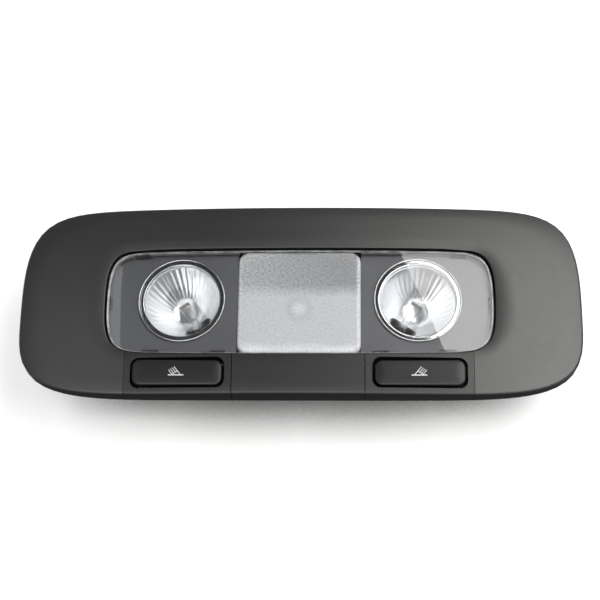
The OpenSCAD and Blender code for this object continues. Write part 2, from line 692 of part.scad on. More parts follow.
// Contact strips, laid in grooves in the back of the housing, with legs up through its floor.
groove = 1.6;
strip_low = groove - strip_t;
strip_pitch = 5.5;
loop_y = case_top - 5;
ground_y = loop_y - strip_pitch;
door_y = 11;
door_x = -5;
loop_x = case_w / 2 - 10;
foot_out = -lamp_foot * sin(bulb_lean) - holder_neck * cos(bulb_lean);
foot_x = lamp_x - foot_out * cos(bulb_turn);
foot_y = -foot_out * sin(bulb_turn);
ground_leg = [foot_x + 3, foot_y + 2.7];
lamp_leg = [foot_x - 2, foot_y - 1.2];
switch_leg_y = -17.5;
module bar(x0, y0, x1, y1, g)
    translate([min(x0, x1) - strip_w / 2 - g, min(y0, y1) - strip_w / 2 - g])
        square([abs(x1 - x0) + strip_w + 2 * g, abs(y1 - y0) + strip_w + 2 * g]);
module supply_path(g) {
    bar(-loop_x, loop_y, loop_x, loop_y, g);
    for (s = [-1, 1]) {
        bar(s * loop_x, loop_y, s * loop_x, switch_leg_y, g);
        bar(s * loop_x, switch_leg_y, s * switch_feet[0], switch_leg_y, g);
    }
}
module ground_path(g) {
    bar(-ground_leg[0], ground_y, ground_leg[0], ground_y, g);
    bar(0, ground_y, 0, 2, g);
    for (s = [-1, 1]) bar(s * ground_leg[0], ground_y, s * ground_leg[0], ground_leg[1], g);
}
module door_path(g) {
    bar(pins[2], door_y, pins[2], room_y, g);
    bar(pins[2], room_y, door_x, room_y, g);
}
module lamp_path(side, g) {
    bar(side * switch_feet[1], switch_leg_y, side * lamp_leg[0], switch_leg_y, g);
    bar(side * lamp_leg[0], switch_leg_y, side * lamp_leg[0], lamp_leg[1], g);
}
module strip_paths(g) {
    supply_path(g);
    ground_path(g);
    door_path(g);
    for (s = [-1, 1]) lamp_path(s, g);
}

// A leg rises from a strip: to a holder's foot, to a switch, or to a pin of the connector.
lamp_foot_z = lamp_z + bulb_z + lamp_foot * cos(bulb_lean) - holder_neck * sin(bulb_lean) - fit;
function foot_z(x) = abs(x) < diffuser_x ? room_foot : lamp_foot_z;
module short_leg(x, y, g)
    translate([x - strip_w / 2 - g, y - strip_t / 2 - g, strip_low])
        cube([strip_w + 2 * g, strip_t + 2 * g, foot_z(x) - strip_low - touch + (g > 0 ? 9 : 0)]);
module switch_leg(x, g) {
    arm_z = switch_low + 3;
    reach_y = -button_drop + window_h / 2 - 0.2;
    translate([x - strip_w / 2 - g, switch_leg_y - strip_t / 2 - g, strip_low])
        cube([strip_w + 2 * g, strip_t + 2 * g, arm_z + strip_t + g - strip_low]);
    translate([x - strip_w / 2 - g, reach_y + touch, arm_z - g])
        cube([strip_w + 2 * g, switch_leg_y - reach_y, strip_t + 2 * g]);
}
pin_w = 2;
module pin_leg(x, y, g) {
    translate([x - pin_w / 2 - g, y - strip_t / 2 - g, strip_low])
        cube([pin_w + 2 * g, strip_t + 2 * g, socket_z + strip_t / 2 + g - strip_low]);
    translate([x - pin_w / 2 - g, y, socket_z - strip_t / 2 - g])
        cube([pin_w + 2 * g, case_top + socket_len - 2.5 - y, strip_t + 2 * g]);
}
switch_feet = [button_x + 9, button_x + 1];
module strip_slots() {
    g = 0.15;
    for (s = [-1, 1]) {
        for (x = switch_feet) switch_leg(s * x, g);
        short_leg(s * ground_leg[0], ground_leg[1], g);
        short_leg(s * lamp_leg[0], lamp_leg[1], g);
    }
    short_leg(0, 2, g);
    short_leg(door_x, room_y, g);
    pin_leg(pins[0], loop_y, g);
    pin_leg(pins[1], ground_y, g);
    pin_leg(pins[2], door_y, g);
}
module flat_strip() translate([0, 0, strip_low]) linear_extrude(strip_t) children();
module supply_strip() color([0.85, 0.65, 0.3]) {
    flat_strip() supply_path(0);
    for (s = [-1, 1]) switch_leg(s * switch_feet[0], 0);
    pin_leg(pins[0], loop_y, 0);
}
module ground_strip() color([0.85, 0.65, 0.3]) {
    flat_strip() ground_path(0);
    for (s = [-1, 1]) short_leg(s * ground_leg[0], ground_leg[1], 0);
    short_leg(0, 2, 0);
    pin_leg(pins[1], ground_y, 0);
}
module door_strip() color([0.85, 0.65, 0.3]) {
    flat_strip() door_path(0);
    short_leg(door_x, room_y, 0);
    pin_leg(pins[2], door_y, 0);
}
module lamp_strip(side) color([0.85, 0.65, 0.3]) {
    flat_strip() lamp_path(side, 0);
    switch_leg(side * switch_feet[1], 0);
    short_leg(side * lamp_leg[0], lamp_leg[1], 0);
}
module left_lamp_strip() lamp_strip(-1);
module right_lamp_strip() lamp_strip(1);

// Roof clip: a bent spring strip on the housing's end wall that grips the edge of the roof's hole.
clip_w = 12;
clip_x = case_w / 2;
clip_top = rim_z - 5.9;
clip_out = 6.4;
clip_drop = 4.7;
clip_leg = 15;
clip_bend = 3.2;
function clip_line() = [[0, case_floor + 0.5], [0, clip_top - clip_bend],
    [0.125 * clip_out, clip_top - clip_bend / 4], [0.35 * clip_out, clip_top],
    [0.66 * clip_out, clip_top - clip_drop / 4], [clip_out, clip_top - clip_drop],
    [0.88 * clip_out, clip_top - 0.68 * clip_leg], [0.66 * clip_out, clip_top - 0.91 * clip_leg],
    [0.4 * clip_out, clip_top - clip_leg]];
function side_of(line, k, t) = let(a = line[max(k - 1, 0)], b = line[min(k + 1, len(line) - 1)])
    let(d = (b - a) / norm(b - a)) line[k] + [d[1], -d[0]] * t;
module roof_clip(side) color([0.78, 0.79, 0.8]) {
    line = clip_line();
    n = len(line);
    translate([side * clip_x, 0, 0]) mirror([side > 0 ? 0 : 1, 0, 0]) rotate([90, 0, 0])
        translate([0, 0, -clip_w / 2]) linear_extrude(clip_w)
            polygon(concat([for (k = [0 : n - 1]) line[k]],
                [for (k = [n - 1 : -1 : 0]) side_of(line, k, clip_t)]));
}
module left_roof_clip() roof_clip(-1);
module right_roof_clip() roof_clip(1);

bezel();
strip_frame();
left_switch_panel();
centre_panel();
right_switch_panel();
lens();
diffuser();
lamp_carrier();
light_chamber();
left_trim_ring();
right_trim_ring();
left_reflector();
right_reflector();
left_bulb();
right_bulb();
room_bulb();
left_bulb_holder();
right_bulb_holder();
room_bulb_holder();
left_button();
right_button();
left_plunger();
right_plunger();
left_spring();
right_spring();
left_switch_body();
right_switch_body();
housing();
housing_screws();
supply_strip();
ground_strip();
door_strip();
left_lamp_strip();
right_lamp_strip();
left_roof_clip();
right_roof_clip();
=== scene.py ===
import math

import bmesh
import bpy
from bpy.props import FloatProperty, FloatVectorProperty, IntProperty, PointerProperty
from mathutils import Matrix, Vector
from mathutils.bvhtree import BVHTree


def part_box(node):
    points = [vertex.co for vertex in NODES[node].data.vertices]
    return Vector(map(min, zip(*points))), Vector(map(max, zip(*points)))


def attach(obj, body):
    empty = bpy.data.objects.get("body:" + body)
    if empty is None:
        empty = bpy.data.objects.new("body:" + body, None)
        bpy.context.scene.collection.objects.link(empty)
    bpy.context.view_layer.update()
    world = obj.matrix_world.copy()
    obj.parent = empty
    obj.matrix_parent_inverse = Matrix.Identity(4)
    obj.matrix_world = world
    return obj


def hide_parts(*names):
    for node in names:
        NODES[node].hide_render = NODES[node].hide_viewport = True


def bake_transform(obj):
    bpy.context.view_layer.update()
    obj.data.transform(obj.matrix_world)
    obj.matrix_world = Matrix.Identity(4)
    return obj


bl_info = {
    "name": "Car dome light",
    "version": (1, 0, 0),
    "blender": (4, 5, 0),
    "location": "3D View > Sidebar > Dome light",
    "description": "Dresses the packed dome light with its visible pieces, finishes and studio",
    "category": "Object",
}

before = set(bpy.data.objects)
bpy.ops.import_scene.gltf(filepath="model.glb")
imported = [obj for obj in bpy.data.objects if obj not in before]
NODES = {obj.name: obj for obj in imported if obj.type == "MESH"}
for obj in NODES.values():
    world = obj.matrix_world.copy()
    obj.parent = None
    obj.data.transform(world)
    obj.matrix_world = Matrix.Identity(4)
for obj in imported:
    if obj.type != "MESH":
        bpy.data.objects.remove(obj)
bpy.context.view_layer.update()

# Lengths are in metres and angles in degrees, except in the sizes, which are in radians.
SIDES = {"left": -1, "right": 1}

# The crown of the face: its height and its place along Y
CROWN_TOP = 0.040
CROWN_Y = -0.0014

# What counts as one point: in a CAD mesh, in a turned shape and in a carved one
CAD_MERGE = 2e-6
SPUN_MERGE = 1e-7
CARVED_MERGE = 1e-6
# CAD triangles at less than this angle are one flat face
FLAT_ANGLE = 0.05
COLUMN_STEPS = 96

# A reading light: how far its seat lies under the crown, and its filament under the seat
LAMP_SEAT = 0.0043
FILAMENT_DOWN = 0.006


# Sizes and colours

def length(name, description, default):
    return FloatProperty(name=name, description=description, default=default, unit="LENGTH")


def angle(name, description, degrees):
    return FloatProperty(name=name, description=description, default=math.radians(degrees),
                         unit="ROTATION")


def paint(name, description, default):
    return FloatVectorProperty(name=name, description=description, default=default,
                               subtype="COLOR", size=3, min=0, max=1)


class DomeLightSizes(bpy.types.PropertyGroup):
    """Sizes of the pieces that the scene makes, as in the part's source."""

    crown_rx: length("Crown radius, end to end", "Radius of the face lengthways", 0.98)
    crown_ry: length("Crown radius, top to bottom", "Radius of the face crossways", 0.34)
    lens_width: length("Lens width", "Width of the clear lens", 0.144)
    lens_height: length("Lens height", "Height of the lens at its middle", 0.0408)
    lens_thickness: length("Lens thickness", "Thickness of the clear lens", 0.002)
    lens_recess: length("Lens recess", "Drop of the lens below the bezel's face", 0.0008)
    lens_edge: length("Lens edge", "Rounding of the polished edge", 0.0004)
    lamp_x: length("Reading light place", "Distance of each reading light from the middle", 0.0441)
    ring_radius: length("Ring radius", "Outer radius of the trim rings", 0.0164)
    dish_radius: length("Reflector radius", "Radius of the reflectors' opening", 0.0141)
    dish_depth: length("Reflector depth", "Depth of the reflectors", 0.014)
    flutes: IntProperty(name="Flutes", description="Number of flutes in a reflector",
                        default=36, min=12, max=72)
    flute_depth: FloatProperty(name="Flute depth", default=0.016,
                               description="Depth of the flutes as a share of the radius")
    bulb_radius: length("Bulb radius", "Radius of the bulbs' glass", 0.0051)
    bulb_lean: angle("Bulb lean", "Lean of the reading bulbs from their reflectors' axes", 65)
    bulb_turn: angle("Bulb turn", "Direction of the reading bulbs' lean, below the horizontal", 55)
    holder_radius: length("Holder radius", "Radius of the bulb holders' plugs", 0.0071)
    icon_size: length("Icon width", "Width of the mark on each button", 0.0054)


class DomeLightColours(bpy.types.PropertyGroup):
    """Colours of the finishes."""

    bezel: paint("Bezel", "Black plastic of the bezel and panels", (0.0175, 0.0186, 0.0178))
    button: paint("Button", "Black plastic of the buttons", (0.0125, 0.0138, 0.0134))
    carrier: paint("Carrier", "Dark grey plate under the lens", (0.102, 0.102, 0.107))
    diffuser: paint("Diffuser", "Frosted cap of the room light", (0.672, 0.675, 0.682))
    shell: paint("Housing", "White plastic of the housing", (0.74, 0.74, 0.71))
    chrome: paint("Chrome", "Plating of the rings and reflectors", (0.86, 0.87, 0.88))
    brass: paint("Brass", "Contact strips", (0.78, 0.57, 0.25))
    mark: paint("Mark", "Printed mark on the buttons", (0.62, 0.63, 0.64))


def sizes():
    return bpy.context.scene.dome_light_sizes


def colours():
    return bpy.context.scene.dome_light_colours


# Shapes shared by the pieces

def crown(x, y):
    """Height of the crowned face over a point."""
    s = sizes()
    return CROWN_TOP - x * x / (2 * s.crown_rx) - (y - CROWN_Y) ** 2 / (2 * s.crown_ry)


def shade_smooth(bm, limit):
    """Smooth faces, with sharp edges where faces meet at more than the limit."""
    for face in bm.faces:
        face.smooth = True
    for edge in bm.edges:
        edge.smooth = edge.is_manifold and edge.calc_face_angle(0) < math.radians(limit)


def face_out(bm):
    bmesh.ops.recalc_face_normals(bm, faces=bm.faces)


def as_object(name, bm):
    """Turns a bmesh into an object of the scene."""
    mesh = bpy.data.meshes.new(name)
    bm.to_mesh(mesh)
    bm.free()
    thing = bpy.data.objects.new(name, mesh)
    bpy.context.scene.collection.objects.link(thing)
    return thing


def make_piece(name, bm, body, finish, stands_for=()):
    """A piece that rides on a body, if one is given, and may stand for CAD nodes."""
    piece = as_object(name, bm)
    mesh = piece.data
    if "custom_normal" in mesh.attributes:
        mesh.attributes.remove(mesh.attributes["custom_normal"])
    mesh.materials.append(finish_for(finish))
    if body:
        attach(piece, body)
    if stands_for:
        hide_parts(*stands_for)
    return piece


def thicken(piece, name, thickness, offset):
    """Gives a surface a wall: inwards with an offset of -1, outwards with 1."""
    wall = piece.modifiers.new(name, "SOLIDIFY")
    wall.thickness = thickness
    wall.offset = offset


def round_edges(piece, name, width, segments):
    """Rounds the edges of a piece; returns the modifier."""
    soft = piece.modifiers.new(name, "BEVEL")
    soft.width = width
    soft.segments = segments
    return soft


def copy_of_node(node):
    """A merged copy of a CAD node's triangles, with its flat facets joined."""
    bm = bmesh.new()
    bm.from_mesh(NODES[node].data)
    bmesh.ops.remove_doubles(bm, verts=bm.verts, dist=CAD_MERGE)
    flat = math.radians(FLAT_ANGLE)
    bmesh.ops.dissolve_limit(bm, angle_limit=flat, verts=bm.verts, edges=bm.edges)
    return bm


def spun(points, steps, closed=True):
    """Points of (radius, height), joined by lines and turned once round the Z axis."""
    bm = bmesh.new()
    verts = [bm.verts.new((r, 0, z)) for r, z in points]
    edges = [bm.edges.new(pair) for pair in zip(verts, verts[1:])]
    if closed:
        edges.append(bm.edges.new((verts[-1], verts[0])))
    bmesh.ops.spin(bm, geom=verts + edges, cent=(0, 0, 0), axis=(0, 0, 1), angle=2 * math.pi,
                   steps=steps, use_merge=True)
    bmesh.ops.remove_doubles(bm, verts=bm.verts, dist=SPUN_MERGE)
    return bm


def arc(centre, radius, start, end, steps):
    """Points of an arc in a profile, from one angle to another."""
    points = []
    for k in range(steps + 1):
        a = math.radians(start + (end - start) * k / steps)
        points.append((centre[0] + radius * math.cos(a), centre[1] + radius * math.sin(a)))
    return points


def block(bm, centre, size):
    """Adds a closed block to a bmesh."""
    made = bmesh.ops.create_cube(bm, size=1)["verts"]
    bmesh.ops.scale(bm, vec=size, verts=made)
    bmesh.ops.translate(bm, vec=centre, verts=made)


def column(radius, low, high):
    """A closed round column between two heights."""
    bm = bmesh.new()
    bmesh.ops.create_cone(bm, cap_ends=True, segments=COLUMN_STEPS, radius1=radius, radius2=radius,
                          depth=high - low)
    bmesh.ops.translate(bm, verts=bm.verts, vec=(0, 0, (low + high) / 2))
    return bm


def carved(base, joined, cuts):
    """A closed shape joined with another one and then cut by others."""
    body = as_object("carving", base)
    tools = []
    for bm in (joined, *cuts):
        cut = body.modifiers.new("cut", "BOOLEAN")
        cut.operation = "DIFFERENCE" if tools else "UNION"
        cut.solver = "EXACT"
        cut.object = as_object("tool", bm)
        tools.append(cut.object)
    depsgraph = bpy.context.evaluated_depsgraph_get()
    result = bmesh.new()
    result.from_mesh(body.evaluated_get(depsgraph).to_mesh())
    for thing in (body, *tools):
        mesh = thing.data
        bpy.data.objects.remove(thing)
        bpy.data.meshes.remove(mesh)
    bmesh.ops.remove_doubles(result, verts=result.verts, dist=CARVED_MERGE)
    return result


def at_lamp(side):
    """Place of a reading light: square to the crowned face."""
    s = sizes()
    tilt = math.asin(s.lamp_x / s.crown_rx)
    seat = crown(s.lamp_x, 0) - LAMP_SEAT
    return Matrix.Translation((side * s.lamp_x, 0, seat)) @ Matrix.Rotation(side * tilt, 4, "Y")


def at_bulb(side):
    """Place of a reading bulb: its filament is the origin, and its body runs down its -Z axis."""
    s = sizes()
    turn = s.bulb_turn - math.pi if side > 0 else -s.bulb_turn
    lean = Matrix.Rotation(turn, 4, "Z") @ Matrix.Rotation(-s.bulb_lean, 4, "Y")
    return at_lamp(side) @ Matrix.Translation((0, 0, -FILAMENT_DOWN)) @ lean


# Shader nodes

def feed(node, inputs):
    """Sets a node's inputs to values or links them to other nodes' outputs."""
    for key, value in inputs.items():
        socket = node.inputs[key]
        if isinstance(value, bpy.types.NodeSocket):
            node.id_data.links.new(value, socket)
        else:
            socket.default_value = (*value, 1) if socket.type == "RGBA" else value


def add_node(tree, kind, inputs, operation=None):
    """A shader node with its operation and its inputs, by name or by number."""
    node = tree.nodes.new("ShaderNode" + kind)
    if operation:
        node.operation = operation
    feed(node, inputs)
    return node


# The helpers below add their node to the tree of their first socket.

def compute(operation, first, *others):
    """The result of a math node on one or two numbers."""
    inputs = dict(enumerate((first, *others)))
    return add_node(first.id_data, "Math", inputs, operation).outputs[0]


def compute_vector(operation, vector, other):
    """The result of a vector math node on two vectors, or on a vector and its scale."""
    inputs = {0: vector, "Scale" if operation == "SCALE" else 1: other}
    outputs = add_node(vector.id_data, "VectorMath", inputs, operation).outputs
    return outputs["Value" if operation in ("DISTANCE", "DOT_PRODUCT") else "Vector"]


def split(vector):
    """The parts of a vector, by axis."""
    return add_node(vector.id_data, "SeparateXYZ", {"Vector": vector}).outputs


def noise(place, scale, detail, distortion=0.0):
    return add_node(place.id_data, "TexNoise", {
        "Vector": place, "Scale": scale, "Detail": detail, "Distortion": distortion}).outputs["Fac"]


def ramp(value, span, result=(0, 1)):
    """Carries a span of a value over to a result, and holds the ends."""
    return add_node(value.id_data, "MapRange", {
        "Value": value, "From Min": span[0], "From Max": span[1],
        "To Min": result[0], "To Max": result[1]}).outputs["Result"]


def bump(height, strength, distance):
    return add_node(height.id_data, "Bump", {
        "Height": height, "Strength": strength, "Distance": distance}).outputs["Normal"]


def blend_colours(factor, first, second):
    """A mix of two colours: a Mix node's inputs 6 and 7, and its output 2."""
    node = factor.id_data.nodes.new("ShaderNodeMix")
    node.data_type = "RGBA"
    feed(node, {0: factor, 6: first, 7: second})
    return node.outputs[2]


def blend_shaders(factor, first, second):
    return add_node(factor.id_data, "MixShader", {0: factor, 1: first, 2: second}).outputs[0]


def seen_rays(tree):
    """One for camera, glossy and transmission rays, which see the pale background."""
    rays = add_node(tree, "LightPath", {}).outputs
    direct = compute("MAXIMUM", rays["Is Camera Ray"], rays["Is Glossy Ray"])
    return compute("MAXIMUM", direct, rays["Is Transmission Ray"])


# Finishes

# Where most of a noise texture's values lie
NOISE_SPREAD = (0.3, 0.7)
# A wall's normal has a low Z: the spans over which its sheen and its IOR fall off
WALL_SPAN = (0.3, 0.85)
STEEP_WALL_SPAN = (0.1, 0.45)
WALL_TINT = (0.35, 1.0)
WALL_IOR = (1.1, 1.5)
# Patches in plastic: scale and detail of their noise, and their tones
PATCHES = (22, 4)
PATCH_TONES = (0.86, 1.14)
# Pale specks, which are finer than the grain
SPECK_FINENESS = 1.6
SPECK_SPAN = (0.58, 0.75)
SPECK_SHARE = 0.35
SPECK_TONE = 1.7
# Painted shade: black painted on what stands in the dark behind the bezel, and the height over
# which it turns dark
PAINTED_SHADE_BLACK = (0.01, 0.01, 0.01)
PAINTED_SHADE_RISE = 0.0006
# What a clear wall leaves of the light
THIN_TINT = (0.985, 0.985, 0.985)
THICK_TINT = (0.93, 0.94, 0.95)
# Where the room bulb's painted shade and light lie on the diffuser
PAINTED_BULB_AT = (0, -0.004, 0.0362)


def toned(colour, factor):
    return tuple(min(1.0, c * factor) for c in colour)


def start_finish(name, colour, roughness, inputs):
    """A material with its Principled shader and its object coordinates."""
    finish = bpy.data.materials.new(name)
    finish.use_nodes = True
    shader = finish.node_tree.nodes["Principled BSDF"]
    feed(shader, {"Base Color": colour, "Roughness": roughness, **inputs})
    return finish, shader, add_node(finish.node_tree, "TexCoord", {}).outputs["Object"]


def plastic(name, colour, rough, grain=2600, depth=0.00002, sheen=0.5, wall_sheen=None,
            painted_shade_above=None):
    """Moulded plastic: a fine grain, slight patches of tone and polish, matt walls where asked."""
    finish, shader, place = start_finish(name, colour, rough[0], {"Specular IOR Level": sheen})
    if wall_sheen is not None:
        upright = split(place.node.outputs["Normal"])["Z"]
        feed(shader, {
            "Specular IOR Level": ramp(upright, WALL_SPAN, (wall_sheen, sheen)),
            "Specular Tint": ramp(upright, WALL_SPAN, WALL_TINT),
            "IOR": ramp(upright, STEEP_WALL_SPAN, WALL_IOR)})
    patches = ramp(noise(place, *PATCHES), NOISE_SPREAD)
    tone = blend_colours(patches, *(toned(colour, level) for level in PATCH_TONES))
    specks = ramp(noise(place, grain * SPECK_FINENESS, 2), SPECK_SPAN, (0, SPECK_SHARE))
    tone = blend_colours(specks, tone, toned(colour, SPECK_TONE))
    # Painted shade: black painted over the part above a height, where it stands in the dark behind
    # the bezel
    if painted_shade_above:
        painted_shade_mask = ramp(split(place)["Z"], (painted_shade_above, painted_shade_above + PAINTED_SHADE_RISE))
        tone = blend_colours(painted_shade_mask, tone, PAINTED_SHADE_BLACK)
    feed(shader, {
        "Base Color": tone,
        "Roughness": ramp(noise(place, 420, 5), NOISE_SPREAD, rough),
        "Normal": bump(noise(place, grain, 4, distortion=0.3), 0.35, depth)})
    return finish


def metal(name, colour, rough, drawn=(1, 1, 1), grain=900, strength=0.1, share=1.0):
    """Metal, or a metallised skin over white plastic, with a drawn grain and slight tarnish."""
    finish, shader, place = start_finish(name, colour, rough[0], {"Metallic": share})
    along = add_node(finish.node_tree, "Mapping", {"Vector": place, "Scale": drawn}).outputs[0]
    tarnish = ramp(noise(place, 60, 4), (0.35, 0.7))
    feed(shader, {
        "Base Color": blend_colours(tarnish, colour, toned(colour, 0.82)),
        "Roughness": ramp(noise(along, grain, 4), NOISE_SPREAD, rough),
        "Normal": bump(noise(along, grain, 3), strength, 0.00002)})
    return finish


def painted_rim_highlight(name, colour):
    """Painted highlight on the lens's outer ring: pale and streaked, it lets a little light
    through.
    """
    finish, shader, place = start_finish(name, colour, 0.25, {"Transmission Weight": 0.25})
    streaks = ramp(noise(place, 260, 4), (0.35, 0.65))
    tone = blend_colours(streaks, (0.25, 0.26, 0.26), (0.72, 0.73, 0.73))
    feed(shader, {"Base Color": tone})
    return finish


def clear(name, tint, roughness, ior, thin=0.0):
    """Clear plastic or glass that lets light through; a thin wall hardly bends the view."""
    finish, shader, place = start_finish(name, tint, roughness, {
        "IOR": ior, "Transmission Weight": 1.0})
    haze = (roughness, roughness + 0.03)
    feed(shader, {
        "Roughness": ramp(noise(place, 140, 5), (0.4, 0.75), haze),
        "Normal": bump(noise(place, 45, 2), 0.02, 0.0002)})
    tree = finish.node_tree
    through = add_node(tree, "BsdfTransparent", {"Color": THIN_TINT if thin else THICK_TINT})
    rays = add_node(tree, "LightPath", {}).outputs
    lights = compute("MAXIMUM", rays["Is Shadow Ray"], rays["Is Diffuse Ray"])
    straight = compute("MAXIMUM", lights, thin)
    surface = blend_shaders(straight, shader.outputs["BSDF"], through.outputs["BSDF"])
    feed(tree.nodes["Material Output"], {"Surface": surface})
    return finish


def frosted(name, colour):
    """Frosted diffuser: a dense fine grain, and painted shade and light for what lies behind it."""
    finish, shader, place = start_finish(name, colour, 0.42, {
        "Subsurface Weight": 0.25, "Subsurface Radius": (0.6, 0.6, 0.6), "Subsurface Scale": 0.002})
    soft = add_node(finish.node_tree, "TexNoise", {"Vector": place, "Scale": 90}).outputs["Color"]
    shift = compute_vector("SCALE", soft, 0.004)
    wavy = split(compute_vector("ADD", place, shift))
    straight = split(place)
    outward = compute("ABSOLUTE", straight["X"])
    from_painted_bulb = compute_vector("DISTANCE", place, PAINTED_BULB_AT)

    # Painted shade: a lit and a shaded copy of the colour; darker to the right and over the upper
    # part
    across = ramp(wavy["X"], (-0.018, 0.018))
    upper = ramp(wavy["Y"], (0.0025, 0.0075))
    painted_lit_part = blend_colours(across, toned(colour, 1.02), toned(colour, 0.93))
    shaded_part = blend_colours(across, toned(colour, 0.8), toned(colour, 0.5))
    tone = blend_colours(upper, painted_lit_part, shaded_part)
    # Painted light and shade: highlights on the lower band, the side edges and the top edge, then
    # the room bulb's blurred shade and its bright middle
    for value, span, share, level in (
            (wavy["Y"], (-0.0155, -0.0185), 1.0, 1.32),     # the bright lower band
            (outward, (0.0212, 0.0222), 0.8, 1.42),         # the side edges
            (straight["Y"], (0.0174, 0.0184), 0.8, 1.35),   # the top edge
            (from_painted_bulb, (0.0062, 0.0042), 0.75, 0.84),      # the bulb's blurred shape
            (from_painted_bulb, (0.0036, 0.0012), 0.9, 1.15)):      # its bright middle
        tone = blend_colours(ramp(value, span, (0, share)), tone, toned(colour, level))
    speckle = noise(place, 1200, 3)
    grain = ramp(speckle, (0.46, 0.66), (0, 0.26))
    tone = blend_colours(grain, tone, toned(colour, 0.4))
    # A dark grit, only over the painted shade of the upper part
    grit = compute("MULTIPLY", upper, ramp(speckle, (0.44, 0.66), (0, 0.42)))
    tone = blend_colours(grit, tone, toned(colour, 0.22))
    feed(shader, {
        "Base Color": tone,
        "Roughness": ramp(noise(place, 700, 3), NOISE_SPREAD, (0.36, 0.55)),
        "Normal": bump(noise(place, 1300, 4), 0.5, 0.00005)})
    return finish


def finish_table():
    """For each finish, how it is made, its name, its colour and its settings."""
    c = colours()
    return {
        "bezel": (plastic, "satin black grained plastic", c.bezel,
            dict(rough=(0.36, 0.40), sheen=0.75, wall_sheen=0.05)),
        "panel": (plastic, "satin black panel plastic", toned(c.bezel, 1.02),
            dict(rough=(0.34, 0.38), wall_sheen=0.05)),
        "button": (plastic, "satin black button plastic", c.button,
            dict(rough=(0.34, 0.38), grain=3200, sheen=0.42, wall_sheen=0.1)),
        "frame": (plastic, "black frame plastic", toned(c.bezel, 0.7), dict(rough=(0.5, 0.62))),
        "carrier": (plastic, "dark grey carrier plastic", c.carrier,
            dict(rough=(0.36, 0.46), grain=2200, depth=0.00001)),
        "shell": (plastic, "white chamber plastic", c.shell, dict(rough=(0.45, 0.6), grain=1500)),
        # The housing's top is painted black as shade behind the bezel
        "housing": (plastic, "white housing plastic", c.shell,
            dict(rough=(0.45, 0.6), grain=1500, painted_shade_above=0.0258)),
        "holder": (plastic, "brown heat-proof moulding", (0.10, 0.075, 0.055),
            dict(rough=(0.5, 0.65), grain=1800)),
        "switch": (plastic, "cream switch plastic", (0.62, 0.57, 0.44),
            dict(rough=(0.4, 0.55), grain=1700)),
        "plunger": (plastic, "red plunger plastic", (0.42, 0.035, 0.025),
            dict(rough=(0.25, 0.35), grain=2400, depth=0.000008)),
        # Painted shade: the groove is black for the shade and dark reflection inside it
        "groove": (plastic, "black lacquered groove", (0.006, 0.006, 0.0065),
            dict(rough=(0.3, 0.4), grain=2400, depth=0.000005)),
        "mark": (plastic, "light grey print", c.mark,
            dict(rough=(0.45, 0.55), grain=3000, depth=0.000005)),
        "chrome": (metal, "polished chrome", toned(c.chrome, 0.7),
            dict(rough=(0.04, 0.09), grain=300, strength=0.02)),
        "mirror": (metal, "bright metallised mirror", toned(c.chrome, 1.06),
            dict(rough=(0.14, 0.22), grain=500, strength=0.05, share=0.58)),
        "brass": (metal, "pressed brass strip", c.brass,
            dict(rough=(0.22, 0.38), drawn=(0.1, 1, 1), grain=700, strength=0.2)),
        "steel": (metal, "spring steel", (0.42, 0.43, 0.45),
            dict(rough=(0.22, 0.4), drawn=(1, 0.08, 1), grain=800, strength=0.25)),
        "zinc": (metal, "zinc plated screw", (0.62, 0.63, 0.65),
            dict(rough=(0.2, 0.35), grain=1200, strength=0.15)),
        "tungsten": (metal, "filament wire", (0.35, 0.34, 0.33),
            dict(rough=(0.35, 0.5), grain=2000)),
        "lens": (clear, "clear polished lens plastic", (0.97, 0.975, 0.98),
            dict(roughness=0.0, ior=1.40)),
        "lug": (clear, "clear lug plastic", (0.9, 0.91, 0.92),
                dict(roughness=0.2, ior=1.40, thin=0.5)),
        "glass": (clear, "bulb glass", (0.97, 0.98, 0.98),
            dict(roughness=0.0, ior=1.47, thin=0.965)),
        "lens_rim": (painted_rim_highlight, "light edge of the lens", (0.62, 0.63, 0.63), {}),
        "diffuser": (frosted, "frosted diffuser plastic", c.diffuser, {}),
    }


FINISHES = {}


def finish_for(key):
    """Makes each finish once, when a piece first asks for it."""
    if key not in FINISHES:
        maker, name, colour, settings = finish_table()[key]
        FINISHES[key] = maker(name, colour, **settings)
    return FINISHES[key]


# The stage

FLOOR_SIZE = 3.0
FLOOR_STEPS = 8
FLOOR_DROP = 0.0002
FLOOR_INPUTS = {"Roughness": 0.9, "Specular IOR Level": 0.1}
# Painted floor shadow near the part, by ambient occlusion: reach of the search, then spans and
# levels
SHADE_REACH = 0.04
SHADE_SAMPLES = 8
GLOW_SHADOW_SPAN, GLOW_SHADOW_LEVELS = (0.42, 0.72), (0.0, 0.55)
PAINTED_SHADOW_SPAN, PAINTED_SHADOW_LEVELS = (0.3, 0.62), (0.2, 0.8)

WHITE = (1, 1, 1)
AMBIENT_LEVEL = 0.36
# What polished pieces see: white near the horizon, dim overhead and bright towards the viewer
HORIZON_SPAN, HORIZON_LEVELS = (0.15, 0.5), (0.95, 0.06)
PATCH_DIRECTION = (0.04, -0.6, 0.799)
PATCH_SPAN, PATCH_LEVELS = (0.80, 0.90), (0.0, 2.6)

# Name, place, turn, size, radiance and tint
SOFTBOXES = (
    ("right softbox", (0.545, 0.218, 0.900), 11.0, (0.70, 1.0), 5.0, (1.0, 0.985, 0.965)),
    ("left softbox", (-0.429, 0.070, 0.900), 4.0, (0.22, 0.80), 1.6, (0.97, 0.985, 1.0)),
)

CAMERA_PLACE = (0.02269, -0.20272, 0.56361)
CAMERA_AIM = (0, -0.00139, 0.036)
CAMERA_ROLL = -6.062
# Focal length and sensor width are in millimetres
CAMERA_LENS = 90.95
CAMERA_SENSOR = 36
CAMERA_SHIFT = (0.0012, 0.0054)


